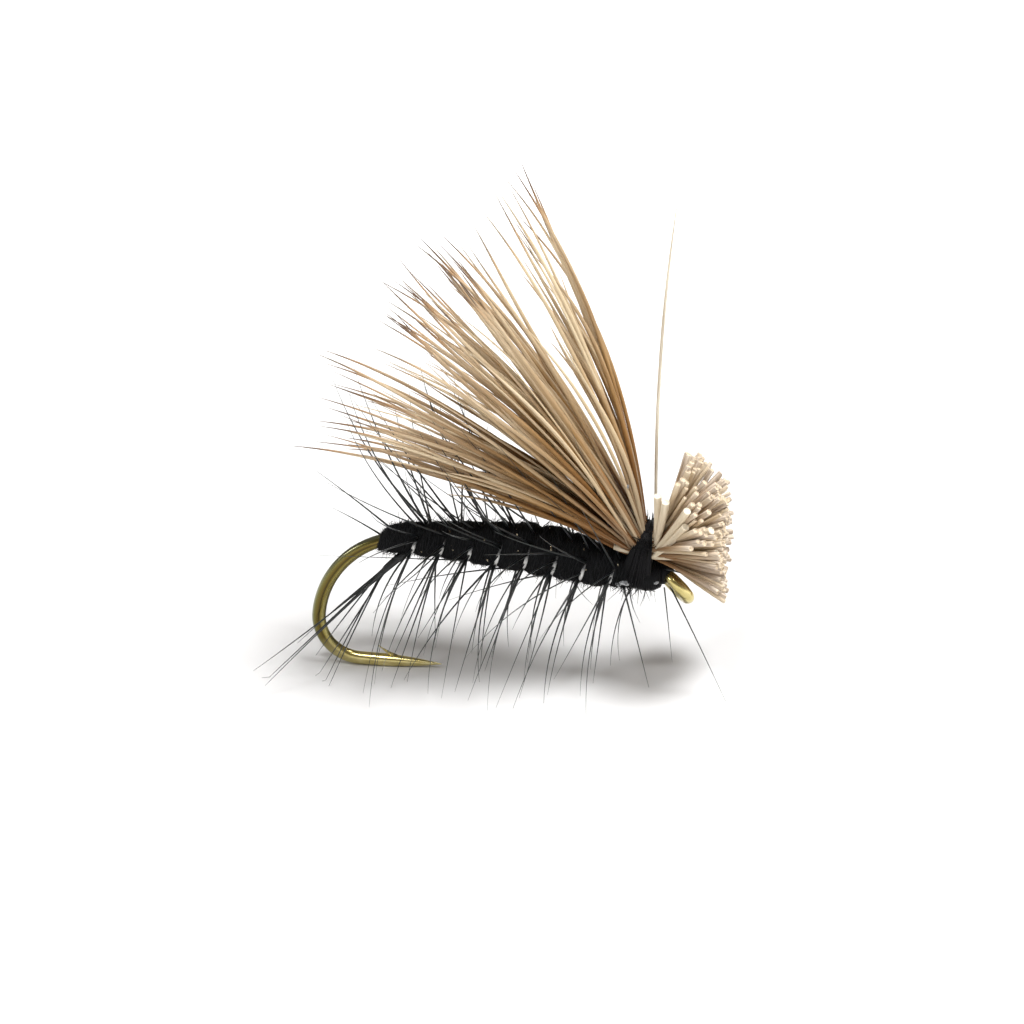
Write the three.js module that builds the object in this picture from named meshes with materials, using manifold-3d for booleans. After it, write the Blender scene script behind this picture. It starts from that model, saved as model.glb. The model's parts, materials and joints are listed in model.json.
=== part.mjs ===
// Dry fly in the elk-hair style: a down-eyed hook with a dubbed body, one palmered feather, a counter-wound
// rib wire and a bundle of hairs whose tips are the wing and whose trimmed butts are the head.
// Millimetres. +X runs from the bend to the eye, +Z is up, and the hook lies in the XZ plane.
// Inside the fly, x = 0 is where the bend starts and z = 0 is the axis of the shank.
import * as THREE from "three";
import Module from "manifold-3d";
import { mergeVertices } from "three/addons/utils/BufferGeometryUtils.js";

const wasm = await Module();
wasm.setup();

const { degToRad, lerp, clamp } = THREE.MathUtils;
const TURN = 2 * Math.PI;
const SIDE = new THREE.Vector3(0, 1, 0);

// Hook, size 14
const WIRE_R = 0.2;
const SHANK_LENGTH = 7.34;
const BEND_R = 2.83;
const HEEL_R = 1.28;
const SPEAR_LENGTH = 2.53;
const SPEAR_RISE = degToRad(3.5);
const POINT_LENGTH = 1.9;
const FORGED_SHARE = 0.62;
const BARB_REACH = 0.62;
const BARB_LIFT = degToRad(33);
const EYE_R = 0.46;
const EYE_WIRE_R = 0.2;
const EYE_DROP = degToRad(42);
const EYE_TWIST = degToRad(-24);
const NECK_R = 0.35;

// The fly stands on its spear and its hackle, a little down by the head.
const HEAD_DOWN = degToRad(5.3);

// Thread, dubbing, feather and rib
const THREAD_BASE_R = [0.225, 0.255];
const BODY_BORE_R = 0.275;
const BODY_BACK = -1.15;
const BODY_FRONT = 6.68;
const GROOVE_SHARE = 0.06;
const HACKLE_TURNS = 8;
const HACKLE_START = -0.25;
const HACKLE_PITCH = 0.86;
const STEM_R = 0.045;
const BARB_BASE_R = 0.032;
const BARBS_PER_TURN = 11;
const FIBRE_LENGTH = 5.3;
const RIB_R = 0.035;
const RIB_TURNS = 7;

// Hair bundle: rows from the bottom up, each with its number of hairs
const BUNDLE_ROWS = [6, 9, 10, 9, 6];
const BUNDLE_Z = 0.9;
const HAIR_GAP = 0.14;
const ROW_GAP = 0.16;
const HAIR_R = 0.1;
const WING_LENGTH = 10.6;
const WING_RISE = [degToRad(13.5), degToRad(66)];
const WING_SPREAD = degToRad(18);
const WING_TILT = [degToRad(7), degToRad(4.5)];
const WING_BOW = [0.045, 0.13];
const BUTT_RISE = [degToRad(-18), degToRad(70)];
const BUTT_SPREAD = degToRad(42);
const BUTT_TILT = [degToRad(18), 0];
const BUTT_LENGTH = 2.5;
const TRIM_REACH = 1.86;
const COLLAR = [6.84, 7.1];

// ---------------------------------------------------------------------------------------------------------
// Geometry helpers

// Skin over a row of rings that all have the same number of points. The row is closed into a loop, or else
// its two ends are capped. Faces point out.
function loft(rings, closed = false) {
  const sides = rings[0].length;
  const points = rings.flat();
  const index = [];
  const spans = closed ? rings.length : rings.length - 1;
  for (let i = 0; i < spans; i++) {
    const here = i * sides;
    const next = ((i + 1) % rings.length) * sides;
    for (let j = 0; j < sides; j++) {
      const k = (j + 1) % sides;
      index.push(here + j, here + k, next + k, here + j, next + k, next + j);
    }
  }
  if (!closed) {
    const last = (rings.length - 1) * sides;
    const ends = [rings[0], rings.at(-1)].map(middle);
    const first = points.push(...ends) - ends.length;
    for (let j = 0; j < sides; j++) {
      const k = (j + 1) % sides;
      index.push(first, k, j, first + 1, last + j, last + k);
    }
  }
  const geometry = new THREE.BufferGeometry().setFromPoints(points);
  geometry.setIndex(signedVolume(points, index) < 0 ? index.reverse() : index);
  geometry.computeVertexNormals();
  return geometry;
}

function middle(ring) {
  const sum = ring.reduce((total, point) => total.add(point), new THREE.Vector3());
  return sum.divideScalar(ring.length);
}

function signedVolume(points, index) {
  let volume = 0;
  for (let i = 0; i < index.length; i += 3) {
    const [a, b, c] = index.slice(i, i + 3).map((n) => points[n]);
    volume += a.dot(b.clone().cross(c)) / 6;
  }
  return volume;
}

// Round tube through a list of points. radius(share) gives its radius at a share of the way along.
function tube(points, radius, sides) {
  const steps = points.map((point, i) => (i ? point.distanceTo(points[i - 1]) : 0));
  const total = steps.reduce((sum, step) => sum + step, 0);
  let along = 0;
  let across = null;
  const rings = points.map((point, i) => {
    const behind = points[Math.max(i - 1, 0)];
    const ahead = points[Math.min(i + 1, points.length - 1)];
    const tangent = ahead.clone().sub(behind).normalize();
    across = across ?? new THREE.Vector3(0.31, 0.17, 0.93).cross(tangent);
    across.addScaledVector(tangent, -across.dot(tangent)).normalize();
    const other = tangent.clone().cross(across);
    along += steps[i];
    const r = radius(along / total);
    return circle(sides, (cos, sin) => point.clone().addScaledVector(across, r * cos).addScaledVector(other, r * sin));
  });
  return loft(rings);
}

function circle(sides, place) {
  return Array.from({ length: sides }, (_, j) => {
    const angle = ((j + 0.5) / sides) * TURN;
    return place(Math.cos(angle), Math.sin(angle));
  });
}

// Points along a quadratic curve, without its first point.
function arcPoints(from, corner, to, steps) {
  return new THREE.QuadraticBezierCurve3(from, corner, to).getPoints(steps).slice(1);
}

function toSolid(geometry) {
  const bare = geometry.clone();
  bare.deleteAttribute("normal");
  bare.deleteAttribute("uv");
  const merged = mergeVertices(bare, 1e-5);
  const vertProperties = new Float32Array(merged.attributes.position.array);
  const triVerts = new Uint32Array(merged.index.array);
  return new wasm.Manifold(new wasm.Mesh({ numProp: 3, vertProperties, triVerts }));
}

function join(geometries) {
  const whole = geometries.map(toSolid).reduce((sum, solid) => sum.add(solid));
  const mesh = whole.getMesh();
  const geometry = new THREE.BufferGeometry();
  geometry.setAttribute("position", new THREE.BufferAttribute(new Float32Array(mesh.vertProperties), 3));
  geometry.setIndex(new THREE.BufferAttribute(new Uint32Array(mesh.triVerts), 1));
  geometry.computeVertexNormals();
  return geometry;
}

// Value at x in a list of [x, value, ...] rows, on straight lines between them.
function alongProfile(rows, x, column) {
  const i = clamp(rows.findIndex((row) => row[0] >= x), 1, rows.length - 1);
  const [low, high] = [rows[i - 1], rows[i]];
  return lerp(low[column], high[column], clamp((x - low[0]) / (high[0] - low[0]), 0, 1));
}

// Repeatable scatter between -1 and 1 for the n-th item of a kind.
function scatter(n, kind) {
  const wave = Math.sin(n * 12.9898 + kind * 78.233) * 43758.5453;
  return 2 * (wave - Math.floor(wave)) - 1;
}

// Height of the wire's axis at x: level along the shank, then down the upper bend.
function shankZ(x) {
  return x >= 0 ? 0 : Math.sqrt(BEND_R ** 2 - x ** 2) - BEND_R;
}

// Height in the standing fly's own frame, with its head down.
function standingZ(point) {
  return point.z * Math.cos(HEAD_DOWN) - point.x * Math.sin(HEAD_DOWN);
}

// ---------------------------------------------------------------------------------------------------------
// Hook

// Stations along the wire from the point to the neck of the eye. Each has its place, its direction and the
// half-height and half-width of the wire there.
function hookStations() {
  const stations = [];
  const add = (x, z, angle, tall = WIRE_R, wide = tall) => {
    const place = new THREE.Vector3(x, 0, z);
    const along = new THREE.Vector3(Math.cos(angle), 0, Math.sin(angle));
    stations.push({ place, along, tall, wide });
  };
  const forged = WIRE_R * 1.05;
  const flat = WIRE_R * FORGED_SHARE;
  const heel = new THREE.Vector2(HEEL_R - BEND_R, -BEND_R);
  const heelEnd = -TURN / 4 + SPEAR_RISE;
  const spearStart = new THREE.Vector2(Math.cos(heelEnd), Math.sin(heelEnd)).multiplyScalar(HEEL_R).add(heel);
  const shaft = SPEAR_LENGTH - POINT_LENGTH;
  for (const share of [1, 0.8, 0.55, 0.3, 0]) {
    const reach = shaft + POINT_LENGTH * share;
    const thin = Math.max(WIRE_R * (1 - share ** 1.7), 0.012);
    const x = spearStart.x + reach * Math.cos(SPEAR_RISE);
    const z = spearStart.y + reach * Math.sin(SPEAR_RISE);
    add(x, z, Math.PI + SPEAR_RISE, thin);
  }
  for (let i = 0; i <= 8; i++) {
    const turn = lerp(heelEnd, -TURN / 2, i / 8);
    const x = heel.x + HEEL_R * Math.cos(turn);
    const z = heel.y + HEEL_R * Math.sin(turn);
    add(x, z, turn - TURN / 4, forged, flat);
  }
  for (let i = 1; i <= 12; i++) {
    const turn = lerp(TURN / 2, TURN / 4, i / 12);
    const x = BEND_R * Math.cos(turn);
    const z = BEND_R * (Math.sin(turn) - 1);
    const bare = x < BODY_BACK - 0.3;
    add(x, z, turn - TURN / 4, bare ? forged : WIRE_R, bare ? flat : WIRE_R);
  }
  add(SHANK_LENGTH, 0, 0);
  for (let i = 1; i <= 3; i++) {
    const drop = (EYE_DROP * i) / 3;
    const x = SHANK_LENGTH + NECK_R * Math.sin(drop);
    add(x, NECK_R * (Math.cos(drop) - 1), -drop, lerp(WIRE_R, EYE_WIRE_R, i / 3));
  }
  return stations;
}

function hookWire() {
  const rings = hookStations().map(({ place, along, tall, wide }) => {
    const up = SIDE.clone().cross(along);
    return circle(12, (cos, sin) => {
      const flattened = clamp(tall * sin, -wide, wide);
      return place.clone().addScaledVector(up, tall * cos).addScaledVector(SIDE, flattened);
    });
  });
  return loft(rings);
}

function hookEye() {
  const neckX = SHANK_LENGTH + NECK_R * Math.sin(EYE_DROP);
  const neckZ = NECK_R * (Math.cos(EYE_DROP) - 1);
  const ring = new THREE.TorusGeometry(EYE_R, EYE_WIRE_R, 10, 24);
  ring.rotateX(EYE_TWIST);
  ring.rotateY(EYE_DROP);
  ring.translate(neckX + EYE_R * Math.cos(EYE_DROP), 0, neckZ - EYE_R * Math.sin(EYE_DROP));
  return ring;
}

// The barb is a sliver cut from the top of the spear and lifted towards the bend.
function hookBarb() {
  const root = new THREE.Vector3(-0.55, 0, shankZ(0) - BEND_R - HEEL_R + WIRE_R * 0.75);
  const lift = new THREE.Vector3(-Math.cos(BARB_LIFT), 0, Math.sin(BARB_LIFT));
  const tip = root.clone().addScaledVector(lift, BARB_REACH);
  const start = root.clone().addScaledVector(lift, -0.25);
  return tube([start, root, tip], (share) => lerp(0.1, 0.012, share), 6);
}

function hookGeometry() {
  return join([hookWire(), hookEye(), hookBarb()]);
}

// ---------------------------------------------------------------------------------------------------------
// Windings on the shank

// Sleeve round the shank: rows of [x, outer radius, height of the outer centre], over a bore on the wire.
function sleeve(rows, bore, sides = 16, groove = () => 1) {
  const outer = rows.map(([x, radius, centre]) =>
    circle(sides, (cos, sin) => {
      const r = radius * groove(x, Math.atan2(-cos, -sin));
      return new THREE.Vector3(x, r * cos, centre + r * sin);
    }),
  );
  const inner = rows
    .filter(([x], i) => x < 0.4 || i === rows.length - 1)
    .map(([x]) => circle(sides, (cos, sin) => new THREE.Vector3(x, bore * cos, shankZ(x) + bore * sin)));
  return loft([...outer, ...inner.reverse()], true);
}

function threadBase() {
  const [bore, radius] = THREAD_BASE_R;
  const places = [-1.05, -0.8, -0.5, -0.2, 0, 0.4, SHANK_LENGTH - 0.05];
  return sleeve(places.map((x) => [x, radius, shankZ(x)]), bore, 12);
}

// Dubbed body: [x, radius, height of its centre], thickest under the middle of the wing
const BODY_PROFILE = [
  [BODY_BACK, 0.33, -0.22],
  [-1.02, 0.41, -0.13],
  [-0.8, 0.46, -0.05],
  [0.8, 0.56, 0.08],
  [3.4, 0.77, 0.2],
  [4.4, 0.77, 0.13],
  [5.6, 0.66, -0.02],
  [BODY_FRONT, 0.44, -0.14],
];

// The feather's stem lies in a shallow groove that winds round the body with it. Angles are measured from
// the belly, round the -Y side and over the back.
function grooveAt(x, angle) {
  const turns = (x - HACKLE_START) / HACKLE_PITCH - angle / TURN;
  return 1 - GROOVE_SHARE * (0.5 + 0.5 * Math.cos(turns * TURN));
}

function onBody(x, angle, clearance) {
  const centre = alongProfile(BODY_PROFILE, x, 2);
  const r = alongProfile(BODY_PROFILE, x, 1) * grooveAt(x, angle) + clearance;
  return new THREE.Vector3(x, -r * Math.sin(angle), centre - r * Math.cos(angle));
}

function dubbedBody() {
  const steps = 48;
  const rows = BODY_PROFILE.slice(0, 3);
  const start = rows.at(-1)[0];
  for (let i = 1; i <= steps; i++) {
    const x = lerp(start, BODY_FRONT, i / steps);
    rows.push([x, alongProfile(BODY_PROFILE, x, 1), alongProfile(BODY_PROFILE, x, 2)]);
  }
  return sleeve(rows, BODY_BORE_R, 16, grooveAt);
}

// Direction of a feather fibre that leaves the stem at an angle round the body. Fibres sweep back, more on
// top than below.
function fibreDirection(angle) {
  const sweep = degToRad(23 - 10 * Math.cos(angle));
  const out = Math.cos(sweep);
  return new THREE.Vector3(-Math.sin(sweep), -out * Math.sin(angle), -out * Math.cos(angle));
}

function fibre(root, direction, length) {
  const drop = standingZ(direction);
  const clear = standingZ(root) - FLOOR_Z;
  const reach = drop < 0 ? Math.min(length, clear / -drop) : length;
  const tip = root.clone().addScaledVector(direction, reach);
  const halfway = root.clone().lerp(tip, 0.5);
  return tube([root, halfway, tip], (share) => lerp(BARB_BASE_R, 0.012, share), 4);
}

// Lowest height that the feather may reach: the level on which the hook's spear lies
const FLOOR_Z = -(BEND_R + HEEL_R) - 0.03;

// One turn of the feather: its length of stem, with the fibres on it.
function hackleTurn(turn) {
  const start = HACKLE_START + turn * HACKLE_PITCH;
  const steps = 16;
  const stem = [];
  for (let i = 0; i <= steps; i++) {
    const share = lerp(0.01, 0.99, i / steps);
    stem.push(onBody(start + share * HACKLE_PITCH, share * TURN, STEM_R + 0.02));
  }
  const pieces = [tube(stem, () => STEM_R, 5)];
  for (let i = 0; i < BARBS_PER_TURN; i++) {
    const share = (i + 0.5) / BARBS_PER_TURN;
    const angle = share * TURN;
    const underWing = turn >= 4 && Math.abs(angle - TURN / 2) < degToRad(50);
    if (underWing) continue;
    const root = onBody(start + share * HACKLE_PITCH, angle, STEM_R + 0.02);
    const direction = fibreDirection(angle + degToRad(6) * scatter(i, turn));
    const length = FIBRE_LENGTH * (0.92 + 0.08 * scatter(i, turn + 20));
    pieces.push(fibre(root, direction, length));
  }
  return join(pieces);
}

// The feather's tip, tied down at the rear: a stub that splits into loose fibres.
function hackleTip() {
  const root = new THREE.Vector3(-0.35, 0, -0.62);
  const split = new THREE.Vector3(-1.0, -0.35, -1.1);
  const pieces = [tube([root, split], () => 0.12, 6)];
  for (const spread of [-26, -14, -4, 8, 20]) {
    const level = degToRad(-38 + spread * 0.5);
    const aside = degToRad(spread - 24);
    const direction = new THREE.Vector3(-Math.cos(level) * Math.cos(aside), Math.sin(aside), Math.sin(level));
    pieces.push(fibre(root.clone().lerp(split, 0.9), direction.normalize(), FIBRE_LENGTH * 0.9));
  }
  return join(pieces);
}

// Rib wire, wound against the feather and over its stem.
function ribWire() {
  const perTurn = 12;
  const points = [];
  for (let i = 0; i <= RIB_TURNS * perTurn; i++) {
    const share = i / (RIB_TURNS * perTurn);
    const x = lerp(BODY_BACK + 0.5, BODY_FRONT - 0.25, share);
    points.push(onBody(x, -share * RIB_TURNS * TURN, 2 * STEM_R + RIB_R + 0.05));
  }
  return tube(points, () => RIB_R, 4);
}

// ---------------------------------------------------------------------------------------------------------
// Hair bundle: wing, head and the thread that holds them

// Outline of the collar round the shank and the hair bundle, as far out as margin. In each direction it
// takes whichever of the two reaches further.
function collarRing(x, margin) {
  const shank = { half: [THREAD_BASE_R[1], THREAD_BASE_R[1]], z: 0 };
  const bundle = { half: [0.76, 0.48], z: BUNDLE_Z };
  const reach = ({ half: [a, b], z }, cos, sin) => Math.hypot(a * cos, b * sin) + z * sin;
  return circle(20, (cos, sin) => {
    const held = reach(shank, cos, sin) > reach(bundle, cos, sin) ? shank : bundle;
    const [a, b] = held.half;
    const size = Math.hypot(a * cos, b * sin);
    const y = (a * a * cos) / size + margin * cos;
    const z = held.z + (b * b * sin) / size + margin * sin;
    return new THREE.Vector3(x, y, z);
  });
}

function threadCollar() {
  const [back, front] = COLLAR;
  const outer = [[back, 0.06], [back + 0.07, 0.14], [front - 0.07, 0.14], [front, 0.06]];
  const inner = [[front, 0.02], [back, 0.02]];
  return loft([...outer, ...inner].map(([x, margin]) => collarRing(x, margin)), true);
}

// The head tapers from the collar, under the trimmed butts, to the eye.
function threadHead() {
  return sleeve([[7.14, 0.42, -0.13], [7.25, 0.43, -0.12], [7.44, 0.36, -0.05]], 0.28);
}

function whipFinish() {
  return sleeve([[7.46, 0.3, -0.01], [7.5, 0.34, -0.02], [7.56, 0.34, -0.03], [7.6, 0.3, -0.04]], 0.235, 14);
}

// Varnish that has run down over the side of the head.
function headCement() {
  const drop = new THREE.SphereGeometry(1, 10, 8);
  drop.scale(0.2, 0.05, 0.16);
  drop.translate(7.3, -0.52, -0.12);
  return drop;
}

// Where hair number n of a row lies in the bundle: across and up from the bundle's centre, and the same two
// as shares from -1 to 1 and from 0 to 1.
function bundlePlace(row, n) {
  const count = BUNDLE_ROWS[row];
  const widest = Math.max(...BUNDLE_ROWS);
  const across = (n - (count - 1) / 2) * HAIR_GAP;
  const up = (row - (BUNDLE_ROWS.length - 1) / 2) * ROW_GAP;
  const aside = across / ((HAIR_GAP * (widest - 1)) / 2);
  const level = row / (BUNDLE_ROWS.length - 1);
  return { across, up, aside, level };
}

function direction(forward, rise, aside) {
  const flat = Math.cos(aside);
  return new THREE.Vector3(forward * Math.cos(rise) * flat, Math.sin(aside), Math.sin(rise) * flat);
}

// How far in front of the collar the butts turn out.
const FRONT_BEND = 0.18;

// A hair from its tip, through the collar, to its cut end. The wing and the butts spread from the bundle as
// two fans, so neighbours draw apart and never cross.
function hairPath(place, wing, wingLength, butt, buttLength) {
  const bend = lerp(0.35, 0.06, place.level);
  const back = new THREE.Vector3(COLLAR[0], place.across, BUNDLE_Z + place.up);
  const front = new THREE.Vector3(COLLAR[1], place.across, BUNDLE_Z + place.up);
  const backCorner = back.clone().add(new THREE.Vector3(-bend, 0, 0));
  const frontCorner = front.clone().add(new THREE.Vector3(FRONT_BEND, 0, 0));
  const wingStart = backCorner.clone().addScaledVector(wing, bend);
  const tip = backCorner.clone().addScaledVector(wing, wingLength);
  const bow = SIDE.clone().cross(wing).multiplyScalar(lerp(...WING_BOW, place.level) * wingLength);
  const crown = wingStart.clone().lerp(tip, 0.5).add(bow);
  const buttStart = frontCorner.clone().addScaledVector(butt, FRONT_BEND);
  const cut = frontCorner.clone().addScaledVector(butt, buttLength);
  return [
    tip,
    ...arcPoints(tip, crown, wingStart, 5),
    ...arcPoints(wingStart, backCorner, back, 2),
    front,
    ...arcPoints(front, frontCorner, buttStart, 2),
    cut,
  ];
}

// Hair radius at a share of the way from tip to cut end: a fine tip, a long even shaft, squeezed at the
// collar and full at the butt.
const HAIR_PROFILE = [
  [0, 0.012],
  [0.25, 0.065],
  [0.55, HAIR_R],
  [0.72, HAIR_R * 0.8],
  [0.775, HAIR_R * 0.62],
  [0.83, HAIR_R * 0.62],
  [0.9, HAIR_R],
  [1, HAIR_R * 1.1],
];

function hair(path, fineness = 1) {
  return tube(path, (share) => fineness * alongProfile(HAIR_PROFILE, share, 1), 5);
}

// Hairs on the fly's right, the -Y side, stand a little steeper than those on its left, and so do their butts.
function wingHair(row, n, number) {
  const place = bundlePlace(row, n);
  const wingTilt = lerp(...WING_TILT, place.level) * place.aside;
  const rise = lerp(...WING_RISE, place.level) - wingTilt + degToRad(2.5) * scatter(number, 1);
  const wing = direction(-1, rise, WING_SPREAD * place.aside);
  const wingLength = WING_LENGTH * (1 + 0.05 * place.level + 0.05 * scatter(number, 2));
  const buttTilt = lerp(...BUTT_TILT, place.level) * Math.min(place.aside, 0.4);
  const lift = lerp(...BUTT_RISE, place.level) - buttTilt + degToRad(3) * scatter(number, 3);
  const butt = direction(1, lift, BUTT_SPREAD * place.aside);
  const buttLength = Math.min(BUTT_LENGTH, TRIM_REACH / butt.x) * (1 + 0.04 * scatter(number, 4));
  return hair(hairPath(place, wing, wingLength, butt, buttLength));
}

// One fine hair lies in the bundle the other way round. Its tip stands straight up in front of the collar.
function strayHair() {
  const level = BUNDLE_Z + ROW_GAP * 2.65;
  const [back, front] = COLLAR;
  const at = (x, up) => new THREE.Vector3(x, 0, level + up);
  const stub = [at(back - 0.25, 0.12), at(back, 0), at(front, 0)];
  const stem = arcPoints(stub[2], at(front + 0.06, 0), at(front + 0.02, 0.35), 3);
  const free = arcPoints(stem[2], at(front - 0.55, 5.5), at(front - 0.45, 9.9), 6);
  return hair([...stub, ...stem, ...free].reverse(), 0.6);
}

// ---------------------------------------------------------------------------------------------------------
// Materials and assembly

function finish(color, roughness, metalness = 0) {
  return new THREE.MeshStandardMaterial({ color, roughness, metalness });
}

const bronze = finish(0xa58c32, 0.25, 1);
const thread = finish(0x0c0c0e, 0.55);
const dubbing = finish(0x0d0e10, 0.95);
const feather = finish(0x17181a, 0.5);
const rib = finish(0xb4a078, 0.35, 1);
const hairTan = finish(0xae9068, 0.6);
const hairPale = finish(0xd6cbb4, 0.6);
const varnish = finish(0xcfd2d0, 0.1);

const fly = new THREE.Group();

function addPart(name, geometry, material) {
  const mesh = new THREE.Mesh(geometry, material);
  mesh.name = name;
  fly.add(mesh);
}

addPart("hook", hookGeometry(), bronze);
addPart("thread_base", threadBase(), thread);
addPart("dubbed_body", dubbedBody(), dubbing);
for (let turn = 0; turn < HACKLE_TURNS; turn++) {
  addPart(`hackle_turn_${turn + 1}`, hackleTurn(turn), feather);
}
addPart("hackle_tip", hackleTip(), feather);
addPart("rib_wire", ribWire(), rib);
let number = 0;
BUNDLE_ROWS.forEach((count, row) => {
  for (let n = 0; n < count; n++) {
    number += 1;
    addPart(`wing_hair_${String(number).padStart(2, "0")}`, wingHair(row, n, number), hairTan);
  }
});
addPart("stray_hair", strayHair(), hairPale);
addPart("thread_collar", threadCollar(), thread);
addPart("thread_head", threadHead(), thread);
addPart("whip_finish", whipFinish(), thread);
addPart("head_cement", headCement(), varnish);

// Tilt the head down, then stand the fly on z = 0 with the middle of its outline over the origin.
fly.rotation.y = HEAD_DOWN;
const group = new THREE.Group();
group.add(fly);
const box = new THREE.Box3().setFromObject(group, true);
const centre = box.getCenter(new THREE.Vector3());
fly.position.set(-centre.x, -centre.y, -box.min.z);

export default group;
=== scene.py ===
"""Looks for the dry fly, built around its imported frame.

Places are worked out in millimetres in the fly's own frame, as in the CAD source: x = 0 is where the hook's
bend starts, z = 0 is the axis of the shank, +X runs to the eye. shape_of() turns and moves them into the row
frame, in metres.
"""

import json
import math

import bpy
import numpy as np
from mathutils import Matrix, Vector


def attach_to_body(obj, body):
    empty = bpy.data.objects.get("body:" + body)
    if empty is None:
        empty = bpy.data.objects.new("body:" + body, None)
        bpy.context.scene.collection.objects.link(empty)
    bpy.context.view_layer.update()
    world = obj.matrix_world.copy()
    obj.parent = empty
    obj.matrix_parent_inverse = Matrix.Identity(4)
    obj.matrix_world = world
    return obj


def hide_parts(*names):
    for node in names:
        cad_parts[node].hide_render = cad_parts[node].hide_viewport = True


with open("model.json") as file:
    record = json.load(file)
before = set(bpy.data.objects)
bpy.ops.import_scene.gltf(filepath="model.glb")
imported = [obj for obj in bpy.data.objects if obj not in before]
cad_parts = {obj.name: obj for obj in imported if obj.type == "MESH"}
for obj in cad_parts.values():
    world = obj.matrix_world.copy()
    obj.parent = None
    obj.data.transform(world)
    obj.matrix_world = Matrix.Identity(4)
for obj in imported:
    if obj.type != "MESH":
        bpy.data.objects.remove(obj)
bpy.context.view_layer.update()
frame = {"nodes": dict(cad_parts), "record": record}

MM = 0.001
TURN = 2 * math.pi
FORWARD = np.array([1.0, 0.0, 0.0])
SIDE = np.array([0.0, 1.0, 0.0])
UP = np.array([0.0, 0.0, 1.0])

# Hook
WIRE_R = 0.2
SHANK_LENGTH = 7.34
BEND_R = 2.83
HEEL_R = 1.28
SPEAR_LENGTH = 2.53
SPEAR_RISE = math.radians(3.5)
POINT_LENGTH = 1.9
FORGED_SHARE = 0.7  # thickness of the forged bend over that of round wire
BARB_REACH = 0.62
BARB_LIFT = math.radians(33)
EYE_R = 0.46
EYE_END_TAPER = 0.28  # how much thinner the wire's cut end is
EYE_DROP = math.radians(42)
EYE_TWIST = math.radians(-24)
NECK_R = 0.35
WIRE_SIDES = 36
HEAD_DOWN = math.radians(5.3)

# Body and feather. The body's rows are [x, radius, height of its centre]
BODY_PROFILE = np.array(
    [
        [-1.22, 0.16, -0.33], [-1.18, 0.25, -0.29], [-1.08, 0.33, -0.22], [-0.9, 0.41, -0.13],
        [-0.6, 0.47, -0.05], [0.8, 0.57, 0.08], [3.4, 0.78, 0.2], [4.4, 0.78, 0.13],
        [5.6, 0.68, -0.02], [6.68, 0.47, -0.12], [6.9, 0.38, -0.1],
    ]
)
BODY_BACK = BODY_PROFILE[0, 0]
BODY_FRONT = BODY_PROFILE[-1, 0]
GROOVE_SHARE = 0.13
HACKLE_TURNS = 8
HACKLE_START = -0.25
HACKLE_PITCH = 0.86
STEM_R = 0.042
BARBS_PER_TURN = 17
BARB_LENGTH = 5.4
BARB_R = 0.027
RIB_R = 0.03
RIB_TURNS = 7
RIB_SINK = 0.046
FUZZ_COUNT = 2600

# Hair bundle: rows from the bottom up, each with its number of locks
BUNDLE_ROWS = [6, 9, 10, 9, 6]
BUNDLE_Z = 0.9  # height of its centre in the collar
LOCK_GAP = 0.14
ROW_GAP = 0.16
HAIR_R = 0.07
WING_LENGTH = 10.7
WING_SPREAD = math.radians(18)
WING_TILT = [math.radians(7), math.radians(4.5)]
BUTT_RISE = [math.radians(-22), math.radians(70)]
BUTT_SPREAD = math.radians(42)
BUTT_TILT = [math.radians(22), 0]
BUTT_LENGTH = 2.5
TRIM_REACH = 1.86  # how far forward the scissors cut, times these for the lowest and highest row
TRIM_LEVELS = [1.12, 0.94]
COLLAR = [6.84, 7.1]
THREAD_R = 0.034
FILAMENT_COUNT = 190


# ---- Frames of reference ----


def turned(points):
    """Points of the fly's own frame, turned head down as the fly stands."""
    points = np.asarray(points, float)
    x, y, z = points[..., 0], points[..., 1], points[..., 2]
    cos, sin = math.cos(HEAD_DOWN), math.sin(HEAD_DOWN)
    return np.stack([x * cos + z * sin, y, z * cos - x * sin], -1)


def eye_centre():
    reach = NECK_R * math.sin(EYE_DROP) + EYE_R * math.cos(EYE_DROP)
    drop = NECK_R * (1 - math.cos(EYE_DROP)) + EYE_R * math.sin(EYE_DROP)
    return np.array([SHANK_LENGTH + reach, 0, -drop])


def fly_origin():
    """Where the fly's own origin lies in the row frame, in millimetres, from the mount in the hook's eye."""
    eye = next(mount for mount in frame["record"]["mounts"] if mount["name"] == "line_eye")
    return np.array(eye["pos_m"]) / MM - turned(eye_centre())


ORIGIN = fly_origin()
FLOOR_CLEARANCE = 0.03


def shape_of(points):
    return (turned(points) + ORIGIN) * MM


def height(points):
    """Height of points of the fly's own frame over the surface that the fly stands on."""
    return turned(points)[..., 2] + ORIGIN[2]


def unit(vectors):
    vectors = np.asarray(vectors, float)
    return vectors / np.linalg.norm(vectors, axis=-1, keepdims=True)


def smooth_step(low, high, value):
    share = np.clip((value - low) / (high - low), 0, 1)
    return share * share * (3 - 2 * share)


def lerp(a, b, share):
    return a + (b - a) * share


# What a hair's scatter is for. A purpose's place in the list keeps it from following the others.
PURPOSES = (
    ["", "rise", "length", "lift", "cut", "wing_aside", "butt_aside", "wave", "hook", "curl", "beside", ""]
    + ["place", "", "tint", "thickness", "crossing", "crosses", "shorter", "arch", "fray"]
)


def scatter(n, purpose):
    """Repeatable scatter between -1 and 1 for the n-th hair."""
    wave = math.sin(n * 12.9898 + PURPOSES.index(purpose) * 78.233) * 43758.5453
    return 2 * (wave - math.floor(wave)) - 1


def around(count):
    """The angles of count places round a full turn."""
    return np.linspace(0, TURN, count, endpoint=False)


def run_along(paths):
    """How far each point of each path is from the path's start."""
    steps = np.linalg.norm(np.diff(paths, axis=1), axis=-1)
    return np.concatenate([np.zeros((len(paths), 1)), np.cumsum(steps, 1)], 1)


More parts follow.
